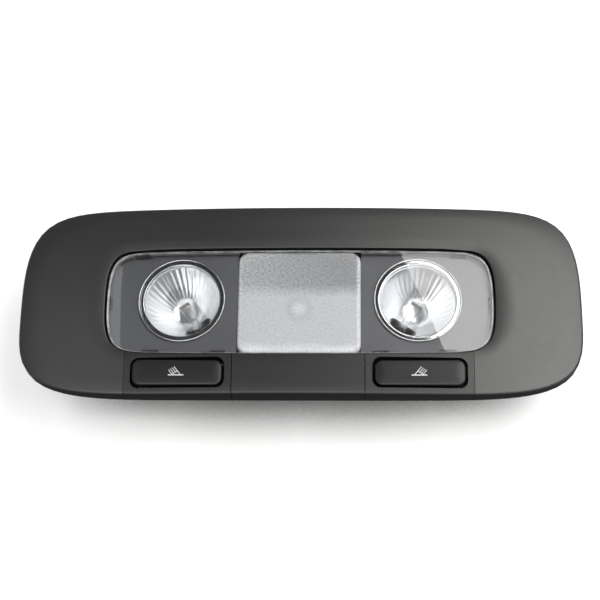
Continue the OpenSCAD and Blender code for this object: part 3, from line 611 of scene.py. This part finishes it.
class DOMELIGHT_OT_stage(bpy.types.Operator):
    """Makes the floor, the lights and the camera at the photograph's viewing angle"""

    bl_idname = "domelight.stage"
    bl_label = "Stage"

    def execute(self, context):
        scene = context.scene
        scene.view_settings.view_transform = "Standard"
        self.make_floor()
        self.make_world(scene)
        for softbox in SOFTBOXES:
            self.make_softbox(scene, *softbox)
        self.make_camera(scene)
        return {"FINISHED"}

    def make_floor(self):
        """Pale paper that glows for the rays that see it, with a painted shadow close to the part.
        """
        bm = bmesh.new()
        bmesh.ops.create_grid(bm, size=FLOOR_SIZE, x_segments=FLOOR_STEPS, y_segments=FLOOR_STEPS)
        floor = as_object("floor", bm)
        floor.location.z = -FLOOR_DROP
        paper = bpy.data.materials.new("pale floor")
        paper.use_nodes = True
        tree = paper.node_tree
        shader = tree.nodes["Principled BSDF"]
        shade = add_node(tree, "AmbientOcclusion", {"Distance": SHADE_REACH})
        shade.samples = SHADE_SAMPLES
        painted_shadow_ao = shade.outputs["AO"]
        # Painted shadow: the paper's colour and glow fall where the part is close
        tone = ramp(painted_shadow_ao, PAINTED_SHADOW_SPAN, PAINTED_SHADOW_LEVELS)
        feed(shader, {**FLOOR_INPUTS, "Base Color": tone})
        glow = add_node(tree, "Emission", {"Strength": ramp(painted_shadow_ao, GLOW_SHADOW_SPAN, GLOW_SHADOW_LEVELS)})
        matt = shader.outputs["BSDF"]
        lit = add_node(tree, "AddShader", {0: matt, 1: glow.outputs["Emission"]})
        surface = blend_shaders(seen_rays(tree), matt, lit.outputs[0])
        feed(tree.nodes["Material Output"], {"Surface": surface})
        floor.data.materials.append(paper)

    def make_world(self, scene):
        """A white background for the camera, a studio in the polish and soft light all round."""
        world = bpy.data.worlds.new("studio")
        scene.world = world
        world.use_nodes = True
        tree = world.node_tree
        ambient = tree.nodes["Background"]
        feed(ambient, {"Color": WHITE, "Strength": AMBIENT_LEVEL})
        direction = add_node(tree, "TexCoord", {}).outputs["Generated"]
        height = ramp(split(direction)["Z"], HORIZON_SPAN, HORIZON_LEVELS)
        toward = compute_vector("DOT_PRODUCT", direction, PATCH_DIRECTION)
        level = compute("ADD", height, ramp(toward, PATCH_SPAN, PATCH_LEVELS))
        studio = add_node(tree, "Background", {"Color": WHITE, "Strength": level})
        plain = add_node(tree, "Background", {"Color": WHITE})
        reflected = blend_shaders(seen_rays(tree), ambient.outputs[0], studio.outputs[0])
        camera_ray = add_node(tree, "LightPath", {}).outputs["Is Camera Ray"]
        surface = blend_shaders(camera_ray, reflected, plain.outputs[0])
        feed(tree.nodes["World Output"], {"Surface": surface})

    def make_softbox(self, scene, name, place, turn, size, radiance, tint):
        """A rectangular lamp that faces down; its power follows from its size and radiance."""
        lamp = bpy.data.lights.new(name, "AREA")
        lamp.shape = "RECTANGLE"
        lamp.size, lamp.size_y = size
        lamp.energy = radiance * math.pi * size[0] * size[1]
        lamp.color = tint
        box = bpy.data.objects.new(name, lamp)
        scene.collection.objects.link(box)
        box.location = place
        box.rotation_euler = (0, 0, math.radians(turn))

    def make_camera(self, scene):
        """The camera, solved from the outline and the round rings in the photograph."""
        data = bpy.data.cameras.new("camera")
        data.sensor_width = CAMERA_SENSOR
        data.lens = CAMERA_LENS
        data.shift_x, data.shift_y = CAMERA_SHIFT
        camera = bpy.data.objects.new("camera", data)
        scene.collection.objects.link(camera)
        place = Vector(CAMERA_PLACE)
        back = (place - Vector(CAMERA_AIM)).normalized()
        right = (-back).cross(Vector((0, 0, 1))).normalized()
        up = right.cross(-back)
        roll = math.radians(CAMERA_ROLL)
        turned = right * math.cos(roll) + up * math.sin(roll)
        above = up * math.cos(roll) - right * math.sin(roll)
        axes = Matrix((turned, above, back)).transposed().to_4x4()
        camera.matrix_world = Matrix.Translation(place) @ axes
        scene.camera = camera


# Bezel and panels

# Seams of the lower strip: the panel that ends at each, and its distance from the middle
SEAMS = {"centre_panel": 0.0244, "right_switch_panel": 0.0644}
# A tongue in a seam: heights, width, how far it lies behind the wall's face, and rounding
TONGUE_LOW, TONGUE_HIGH = 0.0264, 0.0325
TONGUE_WIDTH = 0.0008
TONGUE_BEHIND = 0.0012
TONGUE_EDGE = 0.0001
# A ray that finds a panel's lower wall: how far inside the seam, and from where along Y
PROBE_INSIDE = 0.001
PROBE_FROM = -0.08


class DOMELIGHT_OT_face(bpy.types.Operator):
    """Makes the smooth skins of the bezel and of the three panels in its lower strip"""

    bl_idname = "domelight.face"
    bl_label = "Bezel and panels"

    def execute(self, context):
        walls = {}
        for node in ("bezel", "left_switch_panel", "centre_panel", "right_switch_panel"):
            bm = copy_of_node(node)
            shade_smooth(bm, 34)
            if node in SEAMS:
                walls[SEAMS[node]] = BVHTree.FromBMesh(bm)
            finish = "bezel" if node == "bezel" else "panel"
            make_piece(node + "_skin", bm, "lamp", finish, (node,))
        self.make_tongues(walls)
        return {"FINISHED"}

    def make_tongues(self, walls):
        """Thin tongues inside the lower wall, which keep light out of the seams."""
        bm = bmesh.new()
        middle = (TONGUE_LOW + TONGUE_HIGH) / 2
        for seam, wall in walls.items():
            start = Vector((seam - PROBE_INSIDE, PROBE_FROM, middle))
            hit = wall.ray_cast(start, Vector((0, 1, 0)))[0]
            if hit is None:
                raise RuntimeError("a panel has no wall at its seam")
            for side in SIDES.values():
                block(bm, (side * seam, hit.y + TONGUE_BEHIND, middle),
                      (TONGUE_WIDTH, TONGUE_WIDTH, TONGUE_HIGH - TONGUE_LOW))
        tongues = make_piece("seam_tongues", bm, "lamp", "panel")
        round_edges(tongues, "soft edges", TONGUE_EDGE, 2)


# Buttons

# The mark in its own units: start, end and width of each bar
MARK_BARS = (
    ((-2.83, -1.7), (2.83, -1.7), 0.5),
    ((-0.74, 1.46), (1.63, -1.45), 0.34),
    ((-1.5, 1.05), (-0.1, -0.56), 0.26),
    ((-2.1, 0.65), (-0.78, -0.95), 0.26),
    ((-2.73, 0.24), (-1.35, -1.45), 0.3),
    ((-1.4, -1.4), (0.52, -0.25), 0.34),
)
MARK_UNITS = 5.4
# The mark's place, a little left of each button's middle, its height and its thickness
MARK_X, MARK_SHIFT, MARK_Y = 0.0445, -0.0003, -0.0286
MARK_LIFT = 0.00002
MARK_THICKNESS = 0.00003
# Height from which the mark is dropped on the face
DROP_FROM = 0.08


class DOMELIGHT_OT_buttons(bpy.types.Operator):
    """Makes the two push buttons and the reading light mark printed on each"""

    bl_idname = "domelight.buttons"
    bl_label = "Buttons"

    def execute(self, context):
        for side_name, side in SIDES.items():
            node = side_name + "_button"
            bm = copy_of_node(node)
            shade_smooth(bm, 40)
            surface = BVHTree.FromBMesh(bm)
            make_piece(node + "_cap", bm, node, "button", (node,))
            self.make_mark(node, side, surface)
        return {"FINISHED"}

    def make_mark(self, node, side, surface):
        """A lamp on its base line with four rays, printed on the button's face."""
        unit = sizes().icon_size / MARK_UNITS
        bm = bmesh.new()
        for start, end, width in MARK_BARS:
            self.bar(bm, Vector(start), Vector(end), width)
        for vert in bm.verts:
            x = side * MARK_X + MARK_SHIFT - side * vert.co.x * unit
            y = MARK_Y + vert.co.y * unit
            hit = surface.ray_cast(Vector((x, y, DROP_FROM)), Vector((0, 0, -1)))[0]
            if hit is None:
                raise RuntimeError("the mark misses the button's face")
            vert.co = (x, y, hit.z + MARK_LIFT)
        face_out(bm)
        for face in bm.faces:
            if face.normal.z < 0:
                face.normal_flip()
        mark = make_piece(node + "_mark", bm, node, "mark")
        thicken(mark, "print", MARK_THICKNESS, 1)

    def bar(self, bm, start, end, width):
        """Adds a flat bar, cut once each way so that it can follow the face."""
        along = (end - start).normalized()
        across = Vector((-along.y, along.x)) * width / 2
        corners = (start - across, end - across, end + across, start + across)
        face = bm.faces.new([bm.verts.new((p.x, p.y, 0)) for p in corners])
        bmesh.ops.subdivide_edges(bm, edges=face.edges, cuts=1, use_grid_fill=True)


# Lens

# Outline: its middle, the rise of its lower edge at the ends, and the powers of width and height
LENS_Y = -0.0015
LENS_BOW = 0.0013
LENS_POWERS = (20, 3)
LENS_STEPS = 192
# Search for the outline along a ray
BEYOND_LENS = 0.12
HALVINGS = 40
# Rings of the mesh, as shares of the outline; the first bounds the rim with the painted edge
# highlight
LENS_RINGS = (0.993, 0.985, 0.96, 0.9, 0.82, 0.72, 0.6, 0.48, 0.36, 0.24, 0.12, 0.04)
# Lugs: length and depth; on the long edges, distance from an end or the middle, share of the
# height and inset; at the ends, inset
LUG_LENGTH, LUG_DEPTH = 0.006, 0.0011
LUG_UPPER_END, LUG_LOWER_END, LUG_LOWER_MIDDLE = 0.0125, 0.017, 0.03
LUG_SHARE = 0.94
LUG_INSET, LUG_END_INSET = 0.0008, 0.00095
# How far into the lens's wall a lug reaches, as a share, and its rounding
LUG_BITE = 0.6
LUG_EDGE = 0.00015


def lens_reach(direction):
    """Distance from the lens's middle to its outline: straight sides and a bowed lower edge."""
    s = sizes()
    half_w, half_h = s.lens_width / 2, s.lens_height / 2
    low, high = 0.0, BEYOND_LENS
    for _ in range(HALVINGS):
        mid = (low + high) / 2
        x, y = direction.x * mid, direction.y * mid
        lift = 0 if y > 0 else LENS_BOW * (x / half_w) ** 2
        inside = abs(x / half_w) ** LENS_POWERS[0] + (abs(y - lift) / half_h) ** LENS_POWERS[1] < 1
        low, high = (mid, high) if inside else (low, mid)
    return low


class DOMELIGHT_OT_lens(bpy.types.Operator):
    """Makes the clear crowned lens with its polished edge and snap lugs"""

    bl_idname = "domelight.lens"
    bl_label = "Lens"

    def execute(self, context):
        s = sizes()
        bm, rim = self.make_plate()
        for face in rim:
            face.material_index = 1
        for vert in bm.verts:
            vert.co.z = crown(vert.co.x, vert.co.y) - s.lens_recess
        face_out(bm)
        if sum(face.normal.z for face in bm.faces) < 0:
            bmesh.ops.reverse_faces(bm, faces=bm.faces)
        shade_smooth(bm, 30)
        lens = make_piece("clear_lens", bm, "lamp", "lens", ("lens",))
        # The outermost ring takes the painted edge highlight
        lens.data.materials.append(finish_for("lens_rim"))
        thicken(lens, "wall", s.lens_thickness, -1)
        edge = round_edges(lens, "polished edge", s.lens_edge, 3)
        edge.limit_method = "ANGLE"
        edge.angle_limit = math.radians(50)
        edge.harden_normals = False
        self.make_lugs()
        return {"FINISHED"}

    def make_plate(self):
        """The flat outline filled with rings, and the faces of its outermost ring."""
        s = sizes()
        centre = Vector((0, LENS_Y, 0))
        bm = bmesh.new()
        bmesh.ops.create_circle(bm, cap_ends=False, radius=1.0, segments=LENS_STEPS)
        for vert in bm.verts:
            a = math.atan2(vert.co.y, vert.co.x)
            direction = Vector((math.cos(a) * s.lens_width, math.sin(a) * s.lens_height))
            direction.normalize()
            far = lens_reach(direction)
            vert.co = (direction.x * far, centre.y + direction.y * far, 0)
        edges = list(bm.edges)
        before = 1.0
        for share in LENS_RINGS:
            grown = bmesh.ops.extrude_edge_only(bm, edges=edges)["geom"]
            verts = [g for g in grown if isinstance(g, bmesh.types.BMVert)]
            edges = [g for g in grown if isinstance(g, bmesh.types.BMEdge)]
            bmesh.ops.scale(bm, vec=(share / before, share / before, 1),
                            space=Matrix.Translation(-centre), verts=verts)
            before = share
            if share == LENS_RINGS[0]:
                rim = set(bm.faces)
        bmesh.ops.pointmerge(bm, verts=verts, merge_co=centre)
        return bm, rim

    def make_lugs(self):
        """Eight clear lugs under the lens, which snap into the opening."""
        s = sizes()
        bm = bmesh.new()
        half = s.lens_width / 2
        rise = s.lens_height / 2 * LUG_SHARE
        for side in SIDES.values():
            for x, up in ((half - LUG_UPPER_END, 1), (half - LUG_LOWER_END, -1),
                          (LUG_LOWER_MIDDLE, -1)):
                ratio = lens_reach(Vector((side * x, up * rise)).normalized()) / math.hypot(x, rise)
                y = LENS_Y + up * (rise * ratio - LUG_INSET)
                self.lug(bm, side * x, y, LUG_LENGTH, LUG_DEPTH)
            self.lug(bm, side * (half - LUG_END_INSET), LENS_Y, LUG_DEPTH, LUG_LENGTH)
        shade_smooth(bm, 30)
        lugs = make_piece("lens_lugs", bm, "lamp", "lug")
        round_edges(lugs, "soft edges", LUG_EDGE, 2)

    def lug(self, bm, x, y, wide, deep):
        """Adds a lug from the foot of the CAD lens up into the lens's wall."""
        s = sizes()
        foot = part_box("lens")[0].z
        top = crown(x, y) - s.lens_recess - s.lens_thickness * LUG_BITE
        block(bm, (x, y, (top + foot) / 2), (wide, deep, top - foot))


# Carrier and diffuser

# Node, finish, slot and the angle of the sharp edges
UNDER_LENS = (
    ("lamp_carrier", "carrier", "carrier_grey", 30),
    ("diffuser", "diffuser", "diffuser_frosted", 50),
    ("light_chamber", "shell", "white_plastic", 30),
)
# The diffuser fills its well: its growth, its middle, its top's depth and how far that is raised
DIFFUSER_GROWTH = (1.012, 1.01, 1)
DIFFUSER_Y = -0.0014
DIFFUSER_TOP = 0.0016
DIFFUSER_RAISE = 0.0004


class DOMELIGHT_OT_under_lens(bpy.types.Operator):
    """Makes the dark carrier, the frosted diffuser and the white chamber under the lens"""

    bl_idname = "domelight.under_lens"
    bl_label = "Carrier and diffuser"

    def execute(self, context):
        for node, finish, slot, sharp in UNDER_LENS:
            bm = copy_of_node(node)
            if node == "diffuser":
                middle = Matrix.Translation((0, -DIFFUSER_Y, 0))
                bmesh.ops.scale(bm, vec=DIFFUSER_GROWTH, space=middle, verts=bm.verts)
                upper = [v for v in bm.verts if v.co.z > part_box(node)[1].z - DIFFUSER_TOP]
                bmesh.ops.translate(bm, verts=upper, vec=(0, 0, DIFFUSER_RAISE))
            shade_smooth(bm, sharp)
            make_piece(node + "_skin", bm, "lamp", finish, (node,))
        return {"FINISHED"}


# Rings and reflectors

# A trim ring: the lip on its rim
LIP_RADIUS = 0.00027
LIP_HEIGHT = 0.0005
RIM_STEP, RIM_HEIGHT = 0.00008, 0.0001
# The groove inside the lip, coloured black as painted shade, and how far off a face still belongs
# to it
GROOVE_WIDTH, GROOVE_FLOOR = 0.00026, -0.00035
GROOVE_SLACK, GROOVE_BELOW = 0.00001, -0.0004
# The crowned band inside the groove
BAND_GAP, BAND_STEP = 0.00015, 0.00008
BAND_HEIGHT, BAND_FALL = 0.00016, 0.000015
BAND_HALF_STEPS = 3
RING_INNER_TOP = 0.00005
RING_FOOT = -0.0019
RING_WALL = 0.0011
RING_STEPS = 160

# A reflector: height of its opening, radius of its floor, thickness and steps
DISH_TOP = -0.002
DISH_FLOOR = 0.0025
DISH_WALL = 0.0011
DISH_STEPS = 96
DISH_OUTER_ROWS, DISH_INNER_ROWS = 16, 24
CAVITY_TOP = 0.0005
STEPS_PER_FLUTE = 6
# Flutes fade out at the opening and at the floor, and are deepest at one angle
FLUTE_START = 0.0012
FLUTE_CLEAR, FLUTE_FADE = 0.003, 0.003
FLUTE_FLOOR_RADIUS = 0.001
FLUTE_LEAST = 0.35
FLUTE_ANGLE = 50
# Small facets: where they are, how narrow their patch is, depth and half their pitch
FACET_ANGLE = 145
FACET_POWER = 4
FACET_DEPTH = 0.25
FACET_HALF_PITCH = 0.0011
# Along the bulb's axis: heights and clearances of the neck, the bulb's hole and the holder's recess
NECK_SPAN, NECK_WALL = (-0.015, -0.009), 0.0012
HOLE_SPAN, HOLE_GAP = (-0.0132, -0.003), 0.0006
RECESS_SPAN, RECESS_GAP = (-0.016, -0.012), 0.00006


class DOMELIGHT_OT_reading_lights(bpy.types.Operator):
    """Makes the polished trim rings and the fluted reflectors of the reading lights"""

    bl_idname = "domelight.reading_lights"
    bl_label = "Rings and reflectors"

    def execute(self, context):
        for side_name, side in SIDES.items():
            self.make_ring(side_name, side)
            self.make_reflector(side_name, side)
        return {"FINISHED"}

    def make_ring(self, side_name, side):
        """An outer and an inner polished lip with a groove between them, coloured black as painted
        shade.
        """
        s = sizes()
        r, inner = s.ring_radius, s.dish_radius + BAND_GAP
        groove_out = r - 2 * LIP_RADIUS
        band_out, band_in = groove_out - GROOVE_WIDTH, inner + BAND_STEP
        profile = [(r - RIM_STEP, RIM_HEIGHT)]
        profile += arc((r - LIP_RADIUS, LIP_HEIGHT), LIP_RADIUS, 0, 180, 10)
        profile += [(groove_out, GROOVE_FLOOR), (band_out, GROOVE_FLOOR), (band_out, RIM_HEIGHT)]
        for k in range(2 * BAND_HALF_STEPS + 1):
            u = k / BAND_HALF_STEPS - 1
            radius = (band_out + band_in) / 2 - u * (band_out - band_in) / 2
            profile.append((radius, BAND_HEIGHT - BAND_FALL * u * u))
        profile += [(inner, RING_INNER_TOP), (inner, RING_FOOT),
                    (r - RING_WALL, RING_FOOT), (r - RING_WALL, RIM_HEIGHT)]
        bm = spun(profile, RING_STEPS)
        face_out(bm)
        # The groove's faces take the black of painted shade
        for face in bm.faces:
            middle = face.calc_center_median()
            across = math.hypot(middle.x, middle.y)
            in_width = band_out - GROOVE_SLACK < across < groove_out + GROOVE_SLACK
            if in_width and GROOVE_BELOW < middle.z < RIM_HEIGHT:
                face.material_index = 1
        bm.transform(at_lamp(side))
        shade_smooth(bm, 50)
        ring = make_piece(side_name + "_ring", bm, "lamp", "chrome",
                          (side_name + "_trim_ring",))
        ring.data.materials.append(finish_for("groove"))

    def dish_profile(self, rows):
        """The parabola of a dish, from its opening down to its floor."""
        s = sizes()
        widening = s.dish_radius - DISH_FLOOR
        return [(DISH_FLOOR + widening * math.sqrt(1 - k), DISH_TOP - s.dish_depth * k)
                for k in (row / rows for row in range(rows + 1))]

    def make_cavity(self, side):
        """The fluted hollow of a dish, closed above and below."""
        s = sizes()
        path = [(0, CAVITY_TOP), (s.dish_radius, CAVITY_TOP)] + self.dish_profile(DISH_INNER_ROWS)
        path.append((0, DISH_TOP - s.dish_depth))
        bm = spun(path, s.flutes * STEPS_PER_FLUTE, closed=False)
        for vert in bm.verts:
            radius = math.hypot(vert.co.x, vert.co.y)
            down = DISH_TOP - vert.co.z
            if radius < FLUTE_FLOOR_RADIUS or down < 0:
                continue
            turn = math.atan2(vert.co.y, vert.co.x * side)
            fade = min(1.0, down / FLUTE_START)
            fade *= min(1.0, max(0.0, (radius - FLUTE_CLEAR) / FLUTE_FADE))
            toward_flutes = max(0.0, math.cos(turn - math.radians(FLUTE_ANGLE)))
            fluted = FLUTE_LEAST + (1 - FLUTE_LEAST) * toward_flutes
            wave = abs(math.sin(turn * s.flutes / 2))
            toward_facets = max(0.0, math.cos(turn - math.radians(FACET_ANGLE)))
            rows = 1 + math.cos(radius / FACET_HALF_PITCH * math.pi)
            facets = toward_facets ** FACET_POWER * FACET_DEPTH * rows
            share = 1 - s.flute_depth * fade * (fluted * (1 - wave) + facets)
            vert.co.x *= share
            vert.co.y *= share
        face_out(bm)
        return bm

    def make_reflector(self, side_name, side):
        """A dish with a slanting neck; the bulb and its holder go in through the neck."""
        s = sizes()
        foot = DISH_TOP - s.dish_depth - DISH_WALL
        outer = [(r + DISH_WALL, z) for r, z in self.dish_profile(DISH_OUTER_ROWS)]
        body = spun([(0, DISH_TOP), *outer, (DISH_FLOOR, foot), (0, foot)], DISH_STEPS)
        face_out(body)
        neck = column(s.holder_radius + NECK_WALL, *NECK_SPAN)
        hole = column(s.bulb_radius + HOLE_GAP, *HOLE_SPAN)
        recess = column(s.holder_radius + RECESS_GAP, *RECESS_SPAN)
        place = at_lamp(side).inverted() @ at_bulb(side)
        for bm in (neck, hole, recess):
            bm.transform(place)
        bm = carved(body, neck, (self.make_cavity(side), hole, recess))
        bm.transform(at_lamp(side))
        shade_smooth(bm, 40)
        make_piece(side_name + "_dish", bm, "lamp", "mirror",
                   (side_name + "_reflector",))


# Bulbs

GLASS_WALL = 0.0004
# The room bulb's filament lies this far under its tip
ROOM_FILAMENT_DOWN = 0.008
# Wires: radius, distance of the supports from the axis at foot and top, and their heights
WIRE_RADIUS = 0.00014
SUPPORT_LOW_Y, SUPPORT_TOP_Y = 0.0012, 0.0021
SUPPORT_FOOT, SUPPORT_BEND = -0.0155, -0.007
COIL_RADIUS = 0.00055
COIL_TURNS = 12
STEPS_PER_TURN = 8


class DOMELIGHT_OT_bulbs(bpy.types.Operator):
    """Makes the wedge bulbs with their filaments, and finishes their holders"""

    bl_idname = "domelight.bulbs"
    bl_label = "Bulbs and holders"

    def execute(self, context):
        low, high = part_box("room_bulb")
        room = Matrix.Translation((0, (low.y + high.y) / 2, high.z - ROOM_FILAMENT_DOWN))
        places = {"left": at_bulb(-1), "right": at_bulb(1), "room": room}
        for name, place in places.items():
            bm = copy_of_node(name + "_bulb")
            face_out(bm)
            shade_smooth(bm, 40)
            glass = make_piece(name + "_bulb_glass", bm, "lamp", "glass",
                               (name + "_bulb",))
            thicken(glass, "wall", GLASS_WALL, -1)
            self.make_filament(name, place)
        for name in places:
            node = name + "_bulb_holder"
            bm = copy_of_node(node)
            shade_smooth(bm, 30)
            make_piece(node + "_body", bm, "lamp", "holder", (node,))
        return {"FINISHED"}

    def make_filament(self, name, place):
        """Two support wires and a coiled filament inside a bulb."""
        lines = [[(0, end * SUPPORT_LOW_Y, SUPPORT_FOOT), (0, end * SUPPORT_LOW_Y, SUPPORT_BEND),
                  (0, end * SUPPORT_TOP_Y, 0)] for end in (-1, 1)]
        steps = STEPS_PER_TURN * COIL_TURNS
        coil = []
        for k in range(steps + 1):
            a = 2 * math.pi * k / STEPS_PER_TURN
            coil.append((COIL_RADIUS * math.cos(a), SUPPORT_TOP_Y * (2 * k / steps - 1),
                         COIL_RADIUS * math.sin(a)))
        lines.append(coil)
        curve = bpy.data.curves.new(name + "_wires", "CURVE")
        curve.dimensions = "3D"
        curve.bevel_depth = WIRE_RADIUS
        curve.bevel_resolution = 2
        for points in lines:
            spline = curve.splines.new("POLY")
            spline.points.add(len(points) - 1)
            for point, co in zip(spline.points, points):
                point.co = (*co, 1)
        wires = bpy.data.objects.new(name + "_wires", curve)
        bpy.context.scene.collection.objects.link(wires)
        depsgraph = bpy.context.evaluated_depsgraph_get()
        mesh = bpy.data.meshes.new_from_object(wires.evaluated_get(depsgraph))
        bpy.data.objects.remove(wires)
        bm = bmesh.new()
        bm.from_mesh(mesh)
        bpy.data.meshes.remove(mesh)
        bmesh.ops.holes_fill(bm, edges=bm.edges, sides=0)
        bm.transform(place)
        face_out(bm)
        shade_smooth(bm, 60)
        make_piece(name + "_filament", bm, "lamp", "tungsten")


# Housing and hardware

# CAD nodes that are shown as they are, by finish
FINISHED_NODES = {
    "housing": ("housing",),
    "frame": ("strip_frame",),
    "zinc": ("housing_screws",),
    "brass": ("supply_strip", "ground_strip", "door_strip", "left_lamp_strip", "right_lamp_strip"),
    "steel": ("left_roof_clip", "right_roof_clip"),
    "switch": ("left_switch_body", "right_switch_body"),
    "plunger": ("left_plunger", "right_plunger"),
}


class DOMELIGHT_OT_back(bpy.types.Operator):
    """Finishes the pieces behind the face: housing, strips, screws, clips, switches and springs"""

    bl_idname = "domelight.back"
    bl_label = "Housing and hardware"

    def execute(self, context):
        for finish, nodes in FINISHED_NODES.items():
            for node in nodes:
                materials = NODES[node].data.materials
                materials.clear()
                materials.append(finish_for(finish))
        for side_name in SIDES:
            self.make_spring(side_name)
        return {"FINISHED"}

    def make_spring(self, side_name):
        """A smooth copy of the spring's coil, baked in place on no body."""
        node = side_name + "_spring"
        bm = copy_of_node(node)
        shade_smooth(bm, 50)
        coil = make_piece(node + "_coil", bm, None, "steel", (node,))
        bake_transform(coil)


# The add-on

STEPS = (
    DOMELIGHT_OT_stage,
    DOMELIGHT_OT_face,
    DOMELIGHT_OT_buttons,
    DOMELIGHT_OT_lens,
    DOMELIGHT_OT_under_lens,
    DOMELIGHT_OT_reading_lights,
    DOMELIGHT_OT_bulbs,
    DOMELIGHT_OT_back,
)


class DOMELIGHT_PT_panel(bpy.types.Panel):
    """Lists the steps that dress the dome light"""

    bl_idname = "DOMELIGHT_PT_panel"
    bl_label = "Dome light"
    bl_space_type = "VIEW_3D"
    bl_region_type = "UI"
    bl_category = "Dome light"

    def draw(self, context):
        for step in STEPS:
            self.layout.operator(step.bl_idname)


CLASSES = (DomeLightSizes, DomeLightColours, *STEPS, DOMELIGHT_PT_panel)


def register():
    for cls in CLASSES:
        bpy.utils.register_class(cls)
    bpy.types.Scene.dome_light_sizes = PointerProperty(type=DomeLightSizes)
    bpy.types.Scene.dome_light_colours = PointerProperty(type=DomeLightColours)


def unregister():
    del bpy.types.Scene.dome_light_colours
    del bpy.types.Scene.dome_light_sizes
    for cls in reversed(CLASSES):
        bpy.utils.unregister_class(cls)


def main():
    register()
    bpy.ops.domelight.stage()
    bpy.ops.domelight.face()
    bpy.ops.domelight.buttons()
    bpy.ops.domelight.lens()
    bpy.ops.domelight.under_lens()
    bpy.ops.domelight.reading_lights()
    bpy.ops.domelight.bulbs()
    bpy.ops.domelight.back()


if __name__ == "__main__":
    main()
